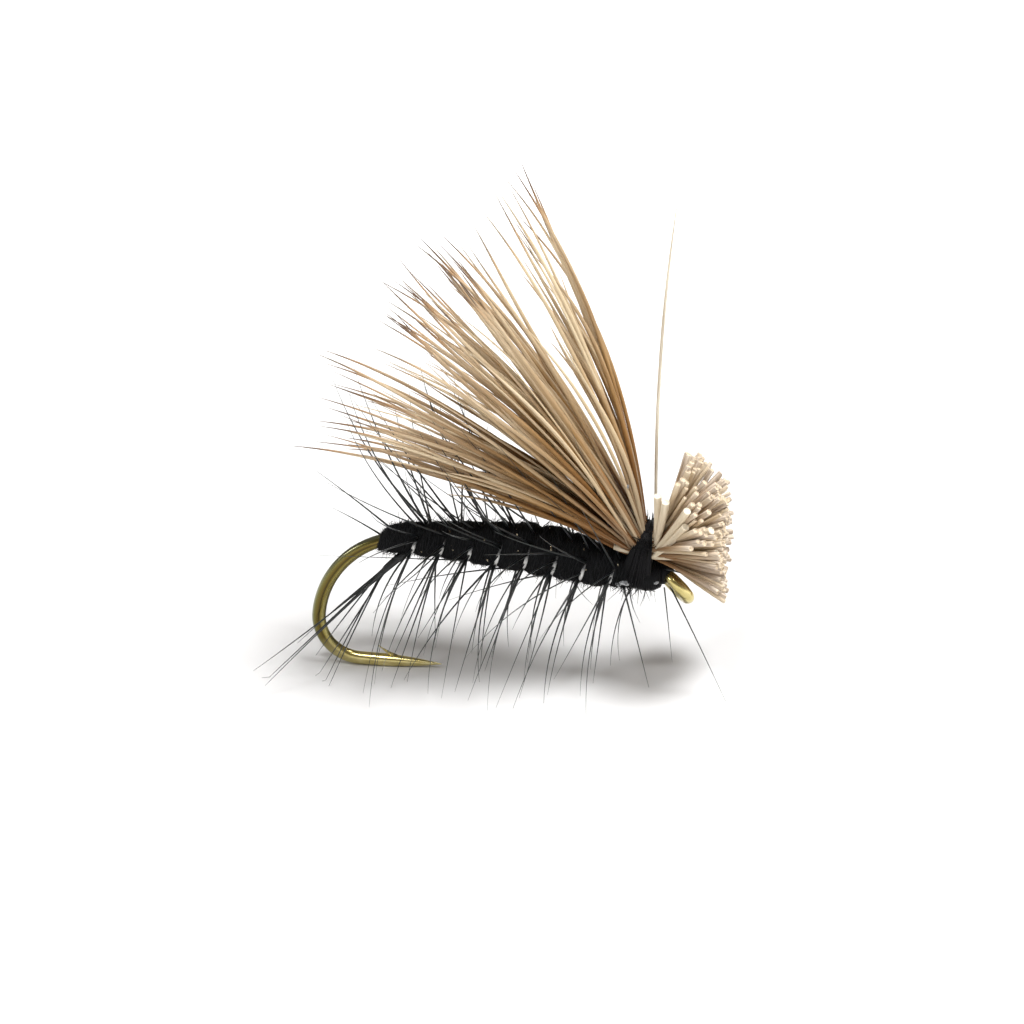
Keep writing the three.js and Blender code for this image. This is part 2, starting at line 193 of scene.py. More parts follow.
def share_along(paths):
    run = run_along(paths)
    return run / run[:, -1:]


def add_object(name, data):
    thing = bpy.data.objects.new(name, data)
    bpy.context.scene.collection.objects.link(thing)
    return thing


# ---- Meshes ----


# How far apart two strands of different tint take their grain
GRAIN_SHIFT = 37


class Skin:
    """Collects closed round shapes into one mesh, with what the materials need to know about each point: its
    share along its strand, its strand's tint, and its grain, which is the way round and the run along."""

    def __init__(self):
        self.points, self.along, self.tint, self.grain = [], [], [], []
        self.corners, self.sizes, self.slots, self.smooth = [], [], [], []
        self.count = 0

    def add_faces(self, faces, slot, smooth=True):
        faces = faces.reshape(-1, faces.shape[-1])
        self.corners.append(faces.ravel())
        self.sizes.append(np.full(len(faces), faces.shape[1]))
        self.slots.append(np.full(len(faces), slot))
        self.smooth.append(np.full(len(faces), smooth))

    def add_rings(self, rings, along, tint, slot=0, cap_slot=None, cap_rings=0):
        """rings is strands x rings x sides x 3. The last cap_rings rings of a strand are its cut end."""
        shape = rings.shape[:3]
        turn = around(shape[2])
        along, tint = along[:, :, None], tint[:, None, None]
        run = run_along(rings.mean(2))[:, :, None] + GRAIN_SHIFT * tint
        grain = np.stack([np.broadcast_to(part, shape) for part in (np.cos(turn), np.sin(turn), run)], -1)
        self.points.append(rings.reshape(-1, 3))
        self.along.append(np.broadcast_to(along, shape).ravel())
        self.tint.append(np.broadcast_to(tint, shape).ravel())
        self.grain.append(grain.reshape(-1, 3))
        index = self.count + np.arange(math.prod(shape)).reshape(shape)
        here, ahead = index[:, :-1], index[:, 1:]
        quads = np.stack([here, np.roll(here, -1, 2), np.roll(ahead, -1, 2), ahead], -1)
        shaft = shape[1] - 1 - cap_rings
        end_slot = slot if cap_slot is None else cap_slot
        self.add_faces(quads[:, :shaft], slot)
        if cap_rings:
            self.add_faces(quads[:, shaft:], end_slot, smooth=False)
        self.add_faces(index[:, 0, ::-1], slot, smooth=False)
        self.add_faces(index[:, -1], end_slot, smooth=False)
        self.count += index.size

    def add_surface(self, rings, tint):
        """One closed body through rings, which is rings x sides x 3."""
        self.add_rings(rings[None], np.linspace(0, 1, len(rings))[None], np.array([tint]))

    def add_strand(self, path, radii, tint, sides=8, slot=0, along=None):
        """One round strand. radii is one number, or one for each point of the path."""
        path = path[None]
        along = share_along(path) if along is None else along[None]
        radii = np.broadcast_to(radii, path.shape[:2])
        self.add_rings(rings_along(path, radii, sides), along, np.array([tint]), slot)

    def add_fibres(self, paths, radii, tint, sides=5):
        """Fibres that start at their root, at along = 0."""
        self.add_rings(rings_along(paths, radii, sides), share_along(paths), tint)

    def build(self, name, materials):
        mesh = bpy.data.meshes.new(name)
        points = shape_of(np.concatenate(self.points))
        corners, sizes = np.concatenate(self.corners), np.concatenate(self.sizes)
        mesh.vertices.add(len(points))
        mesh.vertices.foreach_set("co", points.ravel())
        mesh.loops.add(len(corners))
        mesh.loops.foreach_set("vertex_index", corners)
        mesh.polygons.add(len(sizes))
        mesh.polygons.foreach_set("loop_start", np.cumsum(sizes) - sizes)
        mesh.polygons.foreach_set("material_index", np.concatenate(self.slots))
        mesh.update(calc_edges=True)
        mesh.polygons.foreach_set("use_smooth", np.concatenate(self.smooth))
        for label, kind, field, values in [
            ("along", "FLOAT", "value", self.along),
            ("tint", "FLOAT", "value", self.tint),
            ("grain", "FLOAT_VECTOR", "vector", self.grain),
        ]:
            attribute = mesh.attributes.new(label, kind, "POINT")
            attribute.data.foreach_set(field, np.concatenate(values).ravel().astype(np.float32))
        mesh.validate()
        for material in materials:
            mesh.materials.append(material)
        return add_object(name, mesh)


# A direction that no strand starts in
OFF_AXIS = np.array([0.31, 0.17, 0.93])


def frames_along(paths, first=None):
    """Two directions across each path at each of its points, which don't twist along it."""
    tangents = unit(np.gradient(paths, axis=1))
    start = np.broadcast_to(OFF_AXIS if first is None else first, paths[:, 0].shape)
    across = start - (start * tangents[:, 0]).sum(-1, keepdims=True) * tangents[:, 0]
    across = unit(across)
    rows = []
    for i in range(paths.shape[1]):
        tangent = tangents[:, i]
        across = unit(across - (across * tangent).sum(-1, keepdims=True) * tangent)
        rows.append(across)
    across = np.stack(rows, 1)
    return tangents, across, np.cross(tangents, across)


def rings_along(paths, radii, sides, first=None):
    _, across, other = frames_along(paths, first)
    turn = around(sides)[None, None, :, None]
    spokes = across[:, :, None] * np.cos(turn) + other[:, :, None] * np.sin(turn)
    return paths[:, :, None] + radii[:, :, None, None] * spokes


def quadratic(start, corner, end, steps):
    """Points of quadratic curves, for arrays of start, corner and end points."""
    share = np.linspace(0, 1, steps)[None, :, None]
    start, corner, end = (np.asarray(p)[:, None] for p in (start, corner, end))
    return start * (1 - share) ** 2 + 2 * corner * share * (1 - share) + end * share**2


# ---- Materials ----


class Finish:
    """A procedural material in the making: its nodes, its Principled shader and short ways to add nodes."""

    def __init__(self, name, roughness, **sockets):
        self.material = bpy.data.materials.new(name)
        self.material.use_nodes = True
        self.tree = self.material.node_tree
        self.shader = self.tree.nodes["Principled BSDF"]
        self.shader.inputs["Roughness"].default_value = roughness
        for label, value in sockets.items():
            self.shader.inputs[label.replace("_", " ")].default_value = value

    def node(self, kind, **settings):
        node = self.tree.nodes.new(kind)
        for label, value in settings.items():
            setattr(node, label, value)
        return node

    def wire(self, output, target):
        self.tree.links.new(output, target)

    def attribute(self, name, output="Fac"):
        return self.node("ShaderNodeAttribute", attribute_name=name).outputs[output]

    def place(self):
        return self.node("ShaderNodeTexCoord").outputs["Object"]

    def stretched(self, vector, scale):
        node = self.node("ShaderNodeVectorMath", operation="MULTIPLY")
        self.wire(vector, node.inputs[0])
        node.inputs[1].default_value = scale
        return node.outputs["Vector"]

    def noise(self, vector, scale, detail=2.0, roughness=0.5):
        node = self.node("ShaderNodeTexNoise")
        node.inputs["Scale"].default_value = scale
        node.inputs["Detail"].default_value = detail
        node.inputs["Roughness"].default_value = roughness
        self.wire(vector, node.inputs["Vector"])
        return node.outputs["Fac"]

    def sums(self, terms, start=0.0):
        """start plus the sum of value x factor."""
        total = None
        for value, factor in terms:
            node = self.node("ShaderNodeMath", operation="MULTIPLY_ADD")
            self.wire(value, node.inputs[0])
            node.inputs[1].default_value = factor
            if total is None:
                node.inputs[2].default_value = start
            else:
                self.wire(total, node.inputs[2])
            total = node.outputs["Value"]
        return total

    def grained(self, stretch, detail=2.0, roughness=0.5):
        """Noise that follows the strands. stretch is two numbers for the way round and one for the length."""
        grain = self.stretched(self.attribute("grain", "Vector"), stretch)
        return self.noise(grain, 1.0, detail, roughness)

    def ramp(self, value, stops):
        node = self.node("ShaderNodeValToRGB")
        ramp = node.color_ramp
        while len(ramp.elements) < len(stops):
            ramp.elements.new(0.5)
        for element, (place, color) in zip(ramp.elements, stops):
            element.position = place
            element.color = (*color, 1)
        self.wire(value, node.inputs["Fac"])
        return node.outputs["Color"]

    def mix(self, share, first, second):
        """Mix of two colours, each a socket or three numbers. share is a socket."""
        node = self.node("ShaderNodeMix", data_type="RGBA")
        self.wire(share, node.inputs["Factor"])
        for value, target in [(first, node.inputs[6]), (second, node.inputs[7])]:
            if isinstance(value, tuple):
                target.default_value = (*value, 1)
            else:
                self.wire(value, target)
        return node.outputs[2]

    def bump(self, height, depth_mm, strength=0.6):
        node = self.node("ShaderNodeBump")
        node.inputs["Strength"].default_value = strength
        node.inputs["Distance"].default_value = depth_mm * MM
        self.wire(height, node.inputs["Height"])
        self.wire(node.outputs["Normal"], self.shader.inputs["Normal"])

    def color(self, socket):
        self.wire(socket, self.shader.inputs["Base Color"])

    def rough(self, socket):
        self.wire(socket, self.shader.inputs["Roughness"])


PER_MM = 1 / MM

# Distance, in metres, over which the floor turns from lit paper to a glowing backdrop
SHEET_REACH = 0.25


def grey(level):
    return (level, level, level)


def bronze_finish():
    """Lacquered bronze wire, with faint drawing lines and a little tarnish. Round the bend, bands that run
    with the wire
    are painted reflection and painted shade: pale and bright bands and a dark line, set by the place round
    the wire."""
    finish = Finish("bronze_wire", 0.2, Metallic=1.0, Coat_Weight=0.3, Coat_Roughness=0.12)
    drawn = finish.grained((9, 9, 0.8), 3.0)
    tarnish = finish.noise(finish.place(), 1.6 * PER_MM, 3.0)
    stops = [(0.3, (0.45, 0.37, 0.12)), (0.52, (0.66, 0.56, 0.24)), (0.75, (0.82, 0.74, 0.42))]
    wire = finish.ramp(finish.sums([(tarnish, 0.75), (drawn, 0.25)]), stops)
    split = finish.node("ShaderNodeSeparateXYZ")
    finish.wire(finish.attribute("grain", "Vector"), split.inputs["Vector"])
    painted_band_place = finish.sums([(split.outputs["X"], 0.5)], 0.5)
    # Painted reflection and painted shade round the bend, from one edge of the wire to the other: pale, dark,
    # darkest, bright and dark again.
    bands = [
        (0.0, (0.27, 0.28, 0.20)),
        (0.2, (0.14, 0.125, 0.035)),
        (0.42, (0.12, 0.085, 0.014)),
        (0.56, (0.045, 0.032, 0.007)),
        (0.66, (0.20, 0.155, 0.03)),
        (0.82, (0.36, 0.31, 0.11)),
        (1.0, (0.08, 0.07, 0.02)),
    ]
    bend_reach = [(0.13, grey(0)), (0.2, grey(1)), (0.43, grey(1)), (0.5, grey(0))]
    on_bend = finish.ramp(finish.attribute("along"), bend_reach)
    finish.color(finish.mix(on_bend, wire, finish.ramp(painted_band_place, bands)))
    finish.rough(finish.sums([(drawn, 0.12), (tarnish, 0.1)], 0.12))
    finish.bump(drawn, 0.004, 0.35)
    return finish.material


def dubbing_finish():
    """Black dyed fur: felted, with faint blue-grey fibres lying round the body."""
    finish = Finish("dubbing", 0.92, Specular_IOR_Level=0.2)
    place = finish.place()
    lint = finish.noise(finish.stretched(place, (3.2, 1.0, 1.0)), 7 * PER_MM, 4.0, 0.65)
    tufts = finish.noise(place, 2.2 * PER_MM, 3.0)
    black, worn, pale = (0.0012, 0.0013, 0.0016), (0.0035, 0.0037, 0.0043), (0.01, 0.011, 0.013)
    stops = [(0.35, black), (0.6, worn), (0.8, pale)]
    finish.color(finish.ramp(finish.sums([(lint, 0.6), (tufts, 0.4)]), stops))
    finish.bump(finish.sums([(lint, 0.7), (tufts, 0.6)]), 0.05, 0.9)
    return finish.material


def fuzz_finish():
    """Loose dubbing fibres, a little paler and bluer towards their tips."""
    finish = Finish("dubbing_fibre", 0.7, Specular_IOR_Level=0.25)
    tint = finish.attribute("tint")
    along = finish.attribute("along")
    stops = [(0.0, (0.0015, 0.0017, 0.002)), (0.6, (0.004, 0.0045, 0.0055)), (1.0, (0.018, 0.021, 0.024))]
    finish.color(finish.ramp(finish.sums([(along, 0.6), (tint, 0.4)]), stops))
    return finish.material


def barb_finish():
    """Dyed black feather barbs: glossy and near black, turning smoky grey towards the tip, where the grey is
    painted light showing through the thin ends.
    """
    finish = Finish("feather_barb", 0.34, Specular_IOR_Level=0.6)
    along = finish.attribute("along")
    tint = finish.attribute("tint")
    mottle = finish.grained((1, 1, 1.4))
    # Grey towards the tip: painted light showing through the thin ends of the barbs.
    stops = [
        (0.0, (0.003, 0.004, 0.0045)),
        (0.4, (0.008, 0.011, 0.0115)),
        (0.7, (0.022, 0.029, 0.027)),
        (1.0, (0.10, 0.108, 0.105)),
    ]
    finish.color(finish.ramp(finish.sums([(along, 0.6), (tint, 0.36), (mottle, 0.16)], -0.1), stops))
    finish.rough(finish.sums([(mottle, 0.2)], 0.24))
    return finish.material


def quill_finish():
    """The feather's stem: dyed dark, and painted near white where it passes under the near side of the body,
    a painted reflection of the pale floor.
    """
    finish = Finish("feather_quill", 0.16, Specular_IOR_Level=0.8, Coat_Weight=0.4, Coat_Roughness=0.08)
    belly = finish.attribute("along")
    streaks = finish.grained((2, 2, 3))
    # The pale top of this ramp is the painted reflection on the stem.
    stops = [(0.2, (0.012, 0.012, 0.014)), (0.55, (0.05, 0.05, 0.052)), (0.95, (0.62, 0.62, 0.60))]
    finish.color(finish.ramp(finish.sums([(belly, 1.0), (streaks, 0.3)], -0.15), stops))
    finish.bump(streaks, 0.006, 0.4)
    return finish.material


def rib_finish():
    """Fine gold wire, bright where it is worn."""
    finish = Finish("rib_wire_gold", 0.25, Metallic=1.0)
    wear = finish.noise(finish.place(), 6 * PER_MM, 3.0)
    stops = [(0.35, (0.35, 0.29, 0.19)), (0.7, (0.8, 0.72, 0.55))]
    finish.color(finish.ramp(wear, stops))
    finish.rough(finish.sums([(wear, 0.3)], 0.12))
    return finish.material


# What the paler hairs lean towards, where dark and pale hairs streak the others
PALE_HAIR = np.array([0.92, 0.88, 0.74])
DARK_STREAK = (0.17, 0.09, 0.036)
STRAW_STREAK = (0.74, 0.63, 0.44)


def paler(stops, share):
    return [(place, tuple(lerp(np.array(color), PALE_HAIR, share))) for place, color in stops]


def hair_finish(name="deer_hair", lighter=0.0):
    """Deer hair from its cut butt, at along = 0, to its tip: pale grey-tan butt, warm tan shaft, straw band
    and dark tip. The bands shift a little from hair to hair, and fine streaks run along each."""
    finish = Finish(name, 0.5, Specular_IOR_Level=0.14)
    along = finish.attribute("along")
    tint = finish.attribute("tint")
    streaks = finish.grained((1.6, 1.6, 0.5), 3.0, 0.6)
    shift = finish.sums([(along, 1.0), (tint, 0.05)], -0.025)
    bands = [
        (0.0, (0.78, 0.69, 0.58)),
        (0.045, (0.48, 0.355, 0.24)),
        (0.09, (0.255, 0.148, 0.072)),
        (0.14, (0.14, 0.056, 0.017)),
        (0.25, (0.132, 0.05, 0.011)),
        (0.38, (0.245, 0.112, 0.028)),
        (0.54, (0.36, 0.21, 0.082)),
        (0.70, (0.44, 0.31, 0.178)),
        (0.84, (0.61, 0.48, 0.325)),
        (0.9, (0.46, 0.30, 0.17)),
        (0.94, (0.12, 0.08, 0.06)),
        (1.0, (0.045, 0.042, 0.045)),
    ]
    base = finish.ramp(shift, paler(bands, lighter))
    darker = finish.sums([(streaks, 1.0), (tint, -0.3)])
    dark_share = finish.ramp(darker, [(0.22, grey(0)), (0.5, grey(0.6))])
    dark = finish.mix(dark_share, base, DARK_STREAK)
    lit = finish.sums([(tint, 0.8), (streaks, 0.4)])
    pale_share = finish.ramp(lit, [(0.62, grey(0)), (0.95, grey(0.5))])
    finish.color(finish.mix(pale_share, dark, STRAW_STREAK))
    finish.rough(finish.sums([(streaks, 0.25)], 0.38))
    finish.bump(streaks, 0.008, 0.45)
    return finish.material


def pith_finish(name="hair_pith", lighter=0.0):
    """The spongy white inside of a cut hair."""
    finish = Finish(name, 0.85)
    sponge = finish.noise(finish.place(), 28 * PER_MM, 3.0)
    stops = [(0.3, (0.47, 0.36, 0.24)), (0.6, (0.72, 0.61, 0.46))]
    finish.color(finish.ramp(sponge, paler(stops, lighter)))
    finish.bump(sponge, 0.02, 0.8)
    return finish.material


def amber_finish():
    """One translucent amber hair among the butts."""
    finish = Finish("amber_hair", 0.3, Coat_Weight=0.3)
    streaks = finish.grained((1.5, 1.5, 1))
    finish.color(finish.ramp(streaks, [(0.3, (0.50, 0.25, 0.03)), (0.7, (0.74, 0.45, 0.09))]))
    return finish.material


def thread_finish():
    """Waxed black tying thread, whose filaments show as fine twisted lines."""
    finish = Finish("tying_thread", 0.5, Specular_IOR_Level=0.12)
    filaments = finish.grained((2.5, 2.5, 6))
    stops = [(0.3, (0.0015, 0.0015, 0.0018)), (0.7, (0.006, 0.006, 0.007))]
    finish.color(finish.ramp(filaments, stops))
    finish.rough(finish.sums([(filaments, 0.3)], 0.34))
    finish.bump(filaments, 0.008, 0.7)
    return finish.material


def cement_finish():
    """Clear varnish dried over black thread."""
    finish = Finish("head_cement_clear", 0.1, Transmission_Weight=0.45, IOR=1.48, Coat_Weight=0.5)
    cloud = finish.noise(finish.place(), 5 * PER_MM, 2.0)
    finish.color(finish.ramp(cloud, [(0.3, (0.16, 0.17, 0.18)), (0.7, (0.50, 0.52, 0.53))]))
    return finish.material


def floor_finish():
    """White paper, lit from behind far out as a studio sheet is, so that no line shows at the horizon."""
    finish = Finish("studio_sheet", 0.95, Specular_IOR_Level=0.1)
    reach = finish.node("ShaderNodeVectorMath", operation="LENGTH")
    finish.wire(finish.place(), reach.inputs[0])
    paper = finish.noise(finish.place(), 0.05 * PER_MM, 2.0)
    out = finish.sums([(reach.outputs["Value"], 1 / SHEET_REACH), (paper, 0.004)])
    finish.color(finish.ramp(out, [(0.03, (0.68, 0.68, 0.685)), (0.2, grey(0.95))]))
    glow = finish.ramp(out, [(0.06, grey(0)), (0.7, grey(0.8))])
    finish.wire(glow, finish.shader.inputs["Emission Color"])
    finish.shader.inputs["Emission Strength"].default_value = 1.0
    return finish.material


# ---- Hook ----


def wire_path():
    """The wire's axis from the point to the start of the eye, in the hook's plane, and how many of its places
    are on the spear."""
    heel = np.array([HEEL_R - BEND_R, -BEND_R])
    heel_end = -TURN / 4 + SPEAR_RISE
    spear_start = heel + HEEL_R * np.array([math.cos(heel_end), math.sin(heel_end)])
    along_spear = np.array([math.cos(SPEAR_RISE), math.sin(SPEAR_RISE)])
    parts = []
    reach = SPEAR_LENGTH * (1 - np.linspace(0, 1, 40, endpoint=False) ** 1.3)
    parts.append(spear_start + reach[:, None] * along_spear)
    turn = np.linspace(heel_end, -TURN / 2, 48, endpoint=False)
    parts.append(heel + HEEL_R * np.stack([np.cos(turn), np.sin(turn)], -1))
    turn = np.linspace(TURN / 2, TURN / 4, 48, endpoint=False)
    parts.append(BEND_R * np.stack([np.cos(turn), np.sin(turn) - 1], -1))
    run = np.linspace(0, SHANK_LENGTH, 12, endpoint=False)
    parts.append(np.stack([run, 0 * run], -1))
    drop = np.linspace(0, EYE_DROP, 8, endpoint=False)
    parts.append(np.stack([SHANK_LENGTH + NECK_R * np.sin(drop), NECK_R * (np.cos(drop) - 1)], -1))
    flat = np.concatenate(parts)
    return np.stack([flat[:, 0], np.zeros(len(flat)), flat[:, 1]], -1), len(parts[0])


def eye_path():
    """The wire swings to one side of its own axis and round the eye, until its end meets the neck again."""
    ahead = np.array([math.cos(EYE_DROP), 0, -math.sin(EYE_DROP)])
    bore = np.array([math.sin(EYE_DROP), 0, math.cos(EYE_DROP)])
    aside = math.cos(EYE_TWIST) * SIDE + math.sin(EYE_TWIST) * bore
    first, last = math.radians(238), math.radians(512)
    turn = np.linspace(first, last, 96)
    centre = eye_centre()
    ring = centre + EYE_R * (np.cos(turn)[:, None] * ahead + np.sin(turn)[:, None] * aside)
    start = centre - 1.05 * EYE_R * ahead
    corner = ring[0] - 0.24 * unit(ring[1] - ring[0])
    swing = quadratic([start], [corner], [ring[0]], 10)[0]
    return np.concatenate([swing, ring[1:]])


def hook_piece(bronze):
    """The wire, drawn out to its point and forged flat round the bend."""
    shaft, spear = wire_path()
    path = np.concatenate([shaft, eye_path()])
    order = np.arange(len(path))
    point = np.clip(np.linalg.norm(path - path[0], axis=-1) / POINT_LENGTH, 0, 1)
    thin = np.where(order < spear, 0.05 + 0.95 * (1 - (1 - point) ** 1.7), 1.0)
    from_below = smooth_step(spear - 26, spear + 20, order)
    on_bend = from_below * smooth_step(-1.1, -2.2, np.minimum(path[:, 0], 0)) * (path[:, 2] < 0)
    radius = WIRE_R * thin * (1 - EYE_END_TAPER * smooth_step(len(path) - 12, len(path), order))
    tall = radius * lerp(1.0, 1.05, on_bend)
    turn = around(WIRE_SIDES)
    squared = np.tanh(0.7 * np.sin(turn)) / math.tanh(0.7)
    round_side, flat_side = radius[:, None] * np.sin(turn), (radius * FORGED_SHARE)[:, None] * squared
    wide = lerp(round_side, flat_side, on_bend[:, None])
    _, across, other = frames_along(path[None], UP)
    up = across[0][:, None] * (tall[:, None] * np.cos(turn))[..., None]
    rings = path[:, None] + up + other[0][:, None] * wide[..., None]
    skin = Skin()
    skin.add_rings(rings[None], share_along(path[None]), np.array([0.3]))
    add_barb(skin)
    return skin.build("hook_wire", [bronze])


def add_barb(skin):
    """A sliver cut from the top of the spear and lifted towards the bend, thick at its root."""
    root = np.array([-0.42, 0, -(BEND_R + HEEL_R) + WIRE_R * 0.76])
    lift = np.array([-math.cos(BARB_LIFT), 0, math.sin(BARB_LIFT)])
    share = np.linspace(0, 1, 16)
    low = root + np.array([0.34, 0, -0.06])
    path = quadratic([low], [root + np.array([0.02, 0, 0])], [root + lift * BARB_REACH], len(share))
    radii = np.interp(share, [0, 0.3, 0.45, 0.6, 1], [0.06, 0.088, 0.085, 0.055, 0.008])
    skin.add_strand(path[0], radii, 0.6, sides=12, along=share)


# ---- Body, feather and rib ----


def smoothed_profile():
    """The body's profile on a fine grid, with its corners rounded."""
    grid = np.linspace(BODY_BACK, BODY_FRONT, 600)
    window = np.hanning(21)
    window /= window.sum()
    columns = []
    for column in (1, 2):
        values = np.interp(grid, BODY_PROFILE[:, 0], BODY_PROFILE[:, column])
        padded = np.pad(values, 10, mode="reflect", reflect_type="odd")
        columns.append(np.convolve(padded, window, mode="valid"))
    return grid, *columns


PROFILE_X, PROFILE_R, PROFILE_Z = smoothed_profile()


def groove(x, angle):
    """The feather's stem pulls a narrow groove into the dubbing, which winds round the body with it. Angles
    are measured from the belly, round the -Y side and over the back."""
    turns = (x - HACKLE_START) / HACKLE_PITCH - angle / TURN
    valley = (0.5 + 0.5 * np.cos(turns * TURN)) ** 3
    worn = smooth_step(BODY_BACK + 0.3, BODY_BACK + 0.8, x)
    return 1 - GROOVE_SHARE * valley * worn


def lumps(x, angle):
    """Uneven dubbing: soft bulges round and along the body."""
    around = np.sin(3 * angle + 2.3 * x) + 0.7 * np.sin(5 * angle - 4.1 * x + 1.3)
    lengthwise = np.sin(7.7 * x + 2 * np.sin(angle)) + 0.6 * np.sin(13.1 * x - 1.7 * np.cos(angle))
    return 1 + 0.011 * around + 0.013 * lengthwise


def on_body(x, angle, clearance=0.0):
    radius = np.interp(x, PROFILE_X, PROFILE_R) * groove(x, angle) * lumps(x, angle) + clearance
    centre = np.interp(x, PROFILE_X, PROFILE_Z)
    return np.stack([x + 0 * angle, -radius * np.sin(angle), centre - radius * np.cos(angle)], -1)


def dubbing_piece(dubbing):
    """The wound body without its loose fibres."""
    x = np.linspace(BODY_BACK, BODY_FRONT, 220)[:, None]
    skin = Skin()
    skin.add_surface(on_body(x, around(72)[None]), 0.5)
    return skin.build("dubbing_core", [dubbing])


def fuzz_piece(fibre_material):
    """Loose dubbing fibres that lie round the body and lift away from it a little."""
    rng = np.random.default_rng(7)
    count = FUZZ_COUNT
    x = rng.uniform(BODY_BACK + 0.06, BODY_FRONT - 0.25, count)
    angle = rng.uniform(0, TURN, count)
    length = rng.uniform(0.25, 0.85, count) * lerp(0.7, 1.0, rng.random(count))
    lift = rng.gamma(1.6, 0.05, count)
    drift = rng.normal(0, 0.45, count)
    share = np.linspace(0, 1, 7)
    radius = np.interp(x, PROFILE_X, PROFILE_R)
    bend = rng.normal(0, 0.12, count)
    run = (share[None] - 0.25) * length[:, None]
    angles = angle[:, None] + run / radius[:, None]
    places = x[:, None] + drift[:, None] * run * 0.6 + bend[:, None] * share**2 * 0.4
    rise = 0.004 + (share[None] ** 1.7) * (lift * length * 2.2)[:, None] - 0.02 * (1 - share[None]) ** 2
    paths = on_body(np.clip(places, BODY_BACK, BODY_FRONT), angles, rise)
    radii = np.interp(share, [0, 0.5, 1], [0.010, 0.008, 0.003])[None] * rng.uniform(0.7, 1.25, (count, 1))
    skin = Skin()
    skin.add_fibres(paths, radii, rng.random(count), sides=4)
    return skin.build("dubbing_fuzz", [fibre_material])


def barb_direction(angle, sweep):
    out = np.cos(sweep)
    return np.stack([-np.sin(sweep), -out * np.sin(angle), -out * np.cos(angle)], -1)


def barb_paths(roots, directions, lengths, bends, steps=14):
    """Barbs that leave their roots in the given directions and curve towards bends. Those that would pass
    through the surface under the fly end on it."""
    lengths = np.array(lengths, float)
    share = np.linspace(0, 1, steps)[None, :, None]
    for _ in range(4):
        reach = lengths[:, None, None]
        paths = roots[:, None] + reach * (directions[:, None] * share + bends[:, None] * share**2)
        top, tip = height(roots), height(paths[:, -1])
        too_long = tip < FLOOR_CLEARANCE
        lengths[too_long] *= ((top - FLOOR_CLEARANCE) / (top - tip))[too_long]
    return lift_to_floor(paths)


def lift_to_floor(paths):
    low = FLOOR_CLEARANCE - height(paths)
    return paths + np.maximum(low, 0)[..., None] * UP


def barb_radii(lengths, steps, rng):
    share = np.linspace(0, 1, steps)
    taper = np.interp(share, [0, 0.12, 0.5, 1], [1.45, 1.2, 0.75, 0.16])
    return BARB_R * taper[None] * rng.uniform(0.72, 1.15, (len(lengths), 1))


# Where round the body the stem stands out of the dubbing and carries its painted pale reflection
PAINTED_GLINT_SIDE = math.radians(66)

# From this turn on the wing covers the back, and no barbs stand within this angle of its middle
COVERED_TURN = 4
COVERED_BACK = math.radians(50)

# Share of the barbs that stand well away from their neighbours
UNRULY = 0.08


def palmer_turn(turn, barb, quill):
    """One turn of the feather: its stretch of stem, and the barbs on it."""
    rng = np.random.default_rng(100 + turn)
    start = HACKLE_START + turn * HACKLE_PITCH
    skin = Skin()
    share = np.linspace(0, 1, 61)
    painted_glint_side = 0.5 + 0.5 * np.cos(share * TURN - PAINTED_GLINT_SIDE)
    stem = on_body(start + share * HACKLE_PITCH, share * TURN, STEM_R * lerp(-1.9, 0.9, painted_glint_side**6))
    radii = STEM_R * lerp(1.0, 1.45, painted_glint_side**20)
    # along carries the stem's painted pale reflection, narrow and strongest at that side of the body.
    skin.add_strand(stem, radii, turn / HACKLE_TURNS, sides=10, slot=1, along=painted_glint_side**16)
    count = BARBS_PER_TURN
    place = (np.arange(count) + rng.uniform(0.1, 0.9, count)) / count
    angle = place * TURN
    if turn >= COVERED_TURN:
        keep = np.abs(angle - TURN / 2) > COVERED_BACK
        place, angle = place[keep], angle[keep]
    count = len(angle)
    roots = on_body(start + place * HACKLE_PITCH, angle, STEM_R * 0.5)
    unruly = rng.random(count) < UNRULY
    lean = 21 - 12 * np.cos(angle) - 9 * np.abs(np.sin(angle))
    sweep = np.radians(lean + rng.normal(0, 5, count) + unruly * rng.uniform(10, 35, count))
    aim_angle = angle + np.radians(rng.normal(0, 9, count))
    curve = np.radians(rng.uniform(-2, 14, count))
    directions = barb_direction(aim_angle, sweep + curve)
    lengths = BARB_LENGTH * rng.uniform(0.78, 1.04, count)
    bends = (barb_direction(aim_angle, sweep - curve) - directions) / 2 + rng.normal(0, 0.025, (count, 3))
    paths = barb_paths(roots, directions, lengths, bends)
    skin.add_fibres(paths, barb_radii(lengths, paths.shape[1], rng), rng.random(count))
    return skin.build(f"palmer_turn_{turn + 1}", [barb, quill])


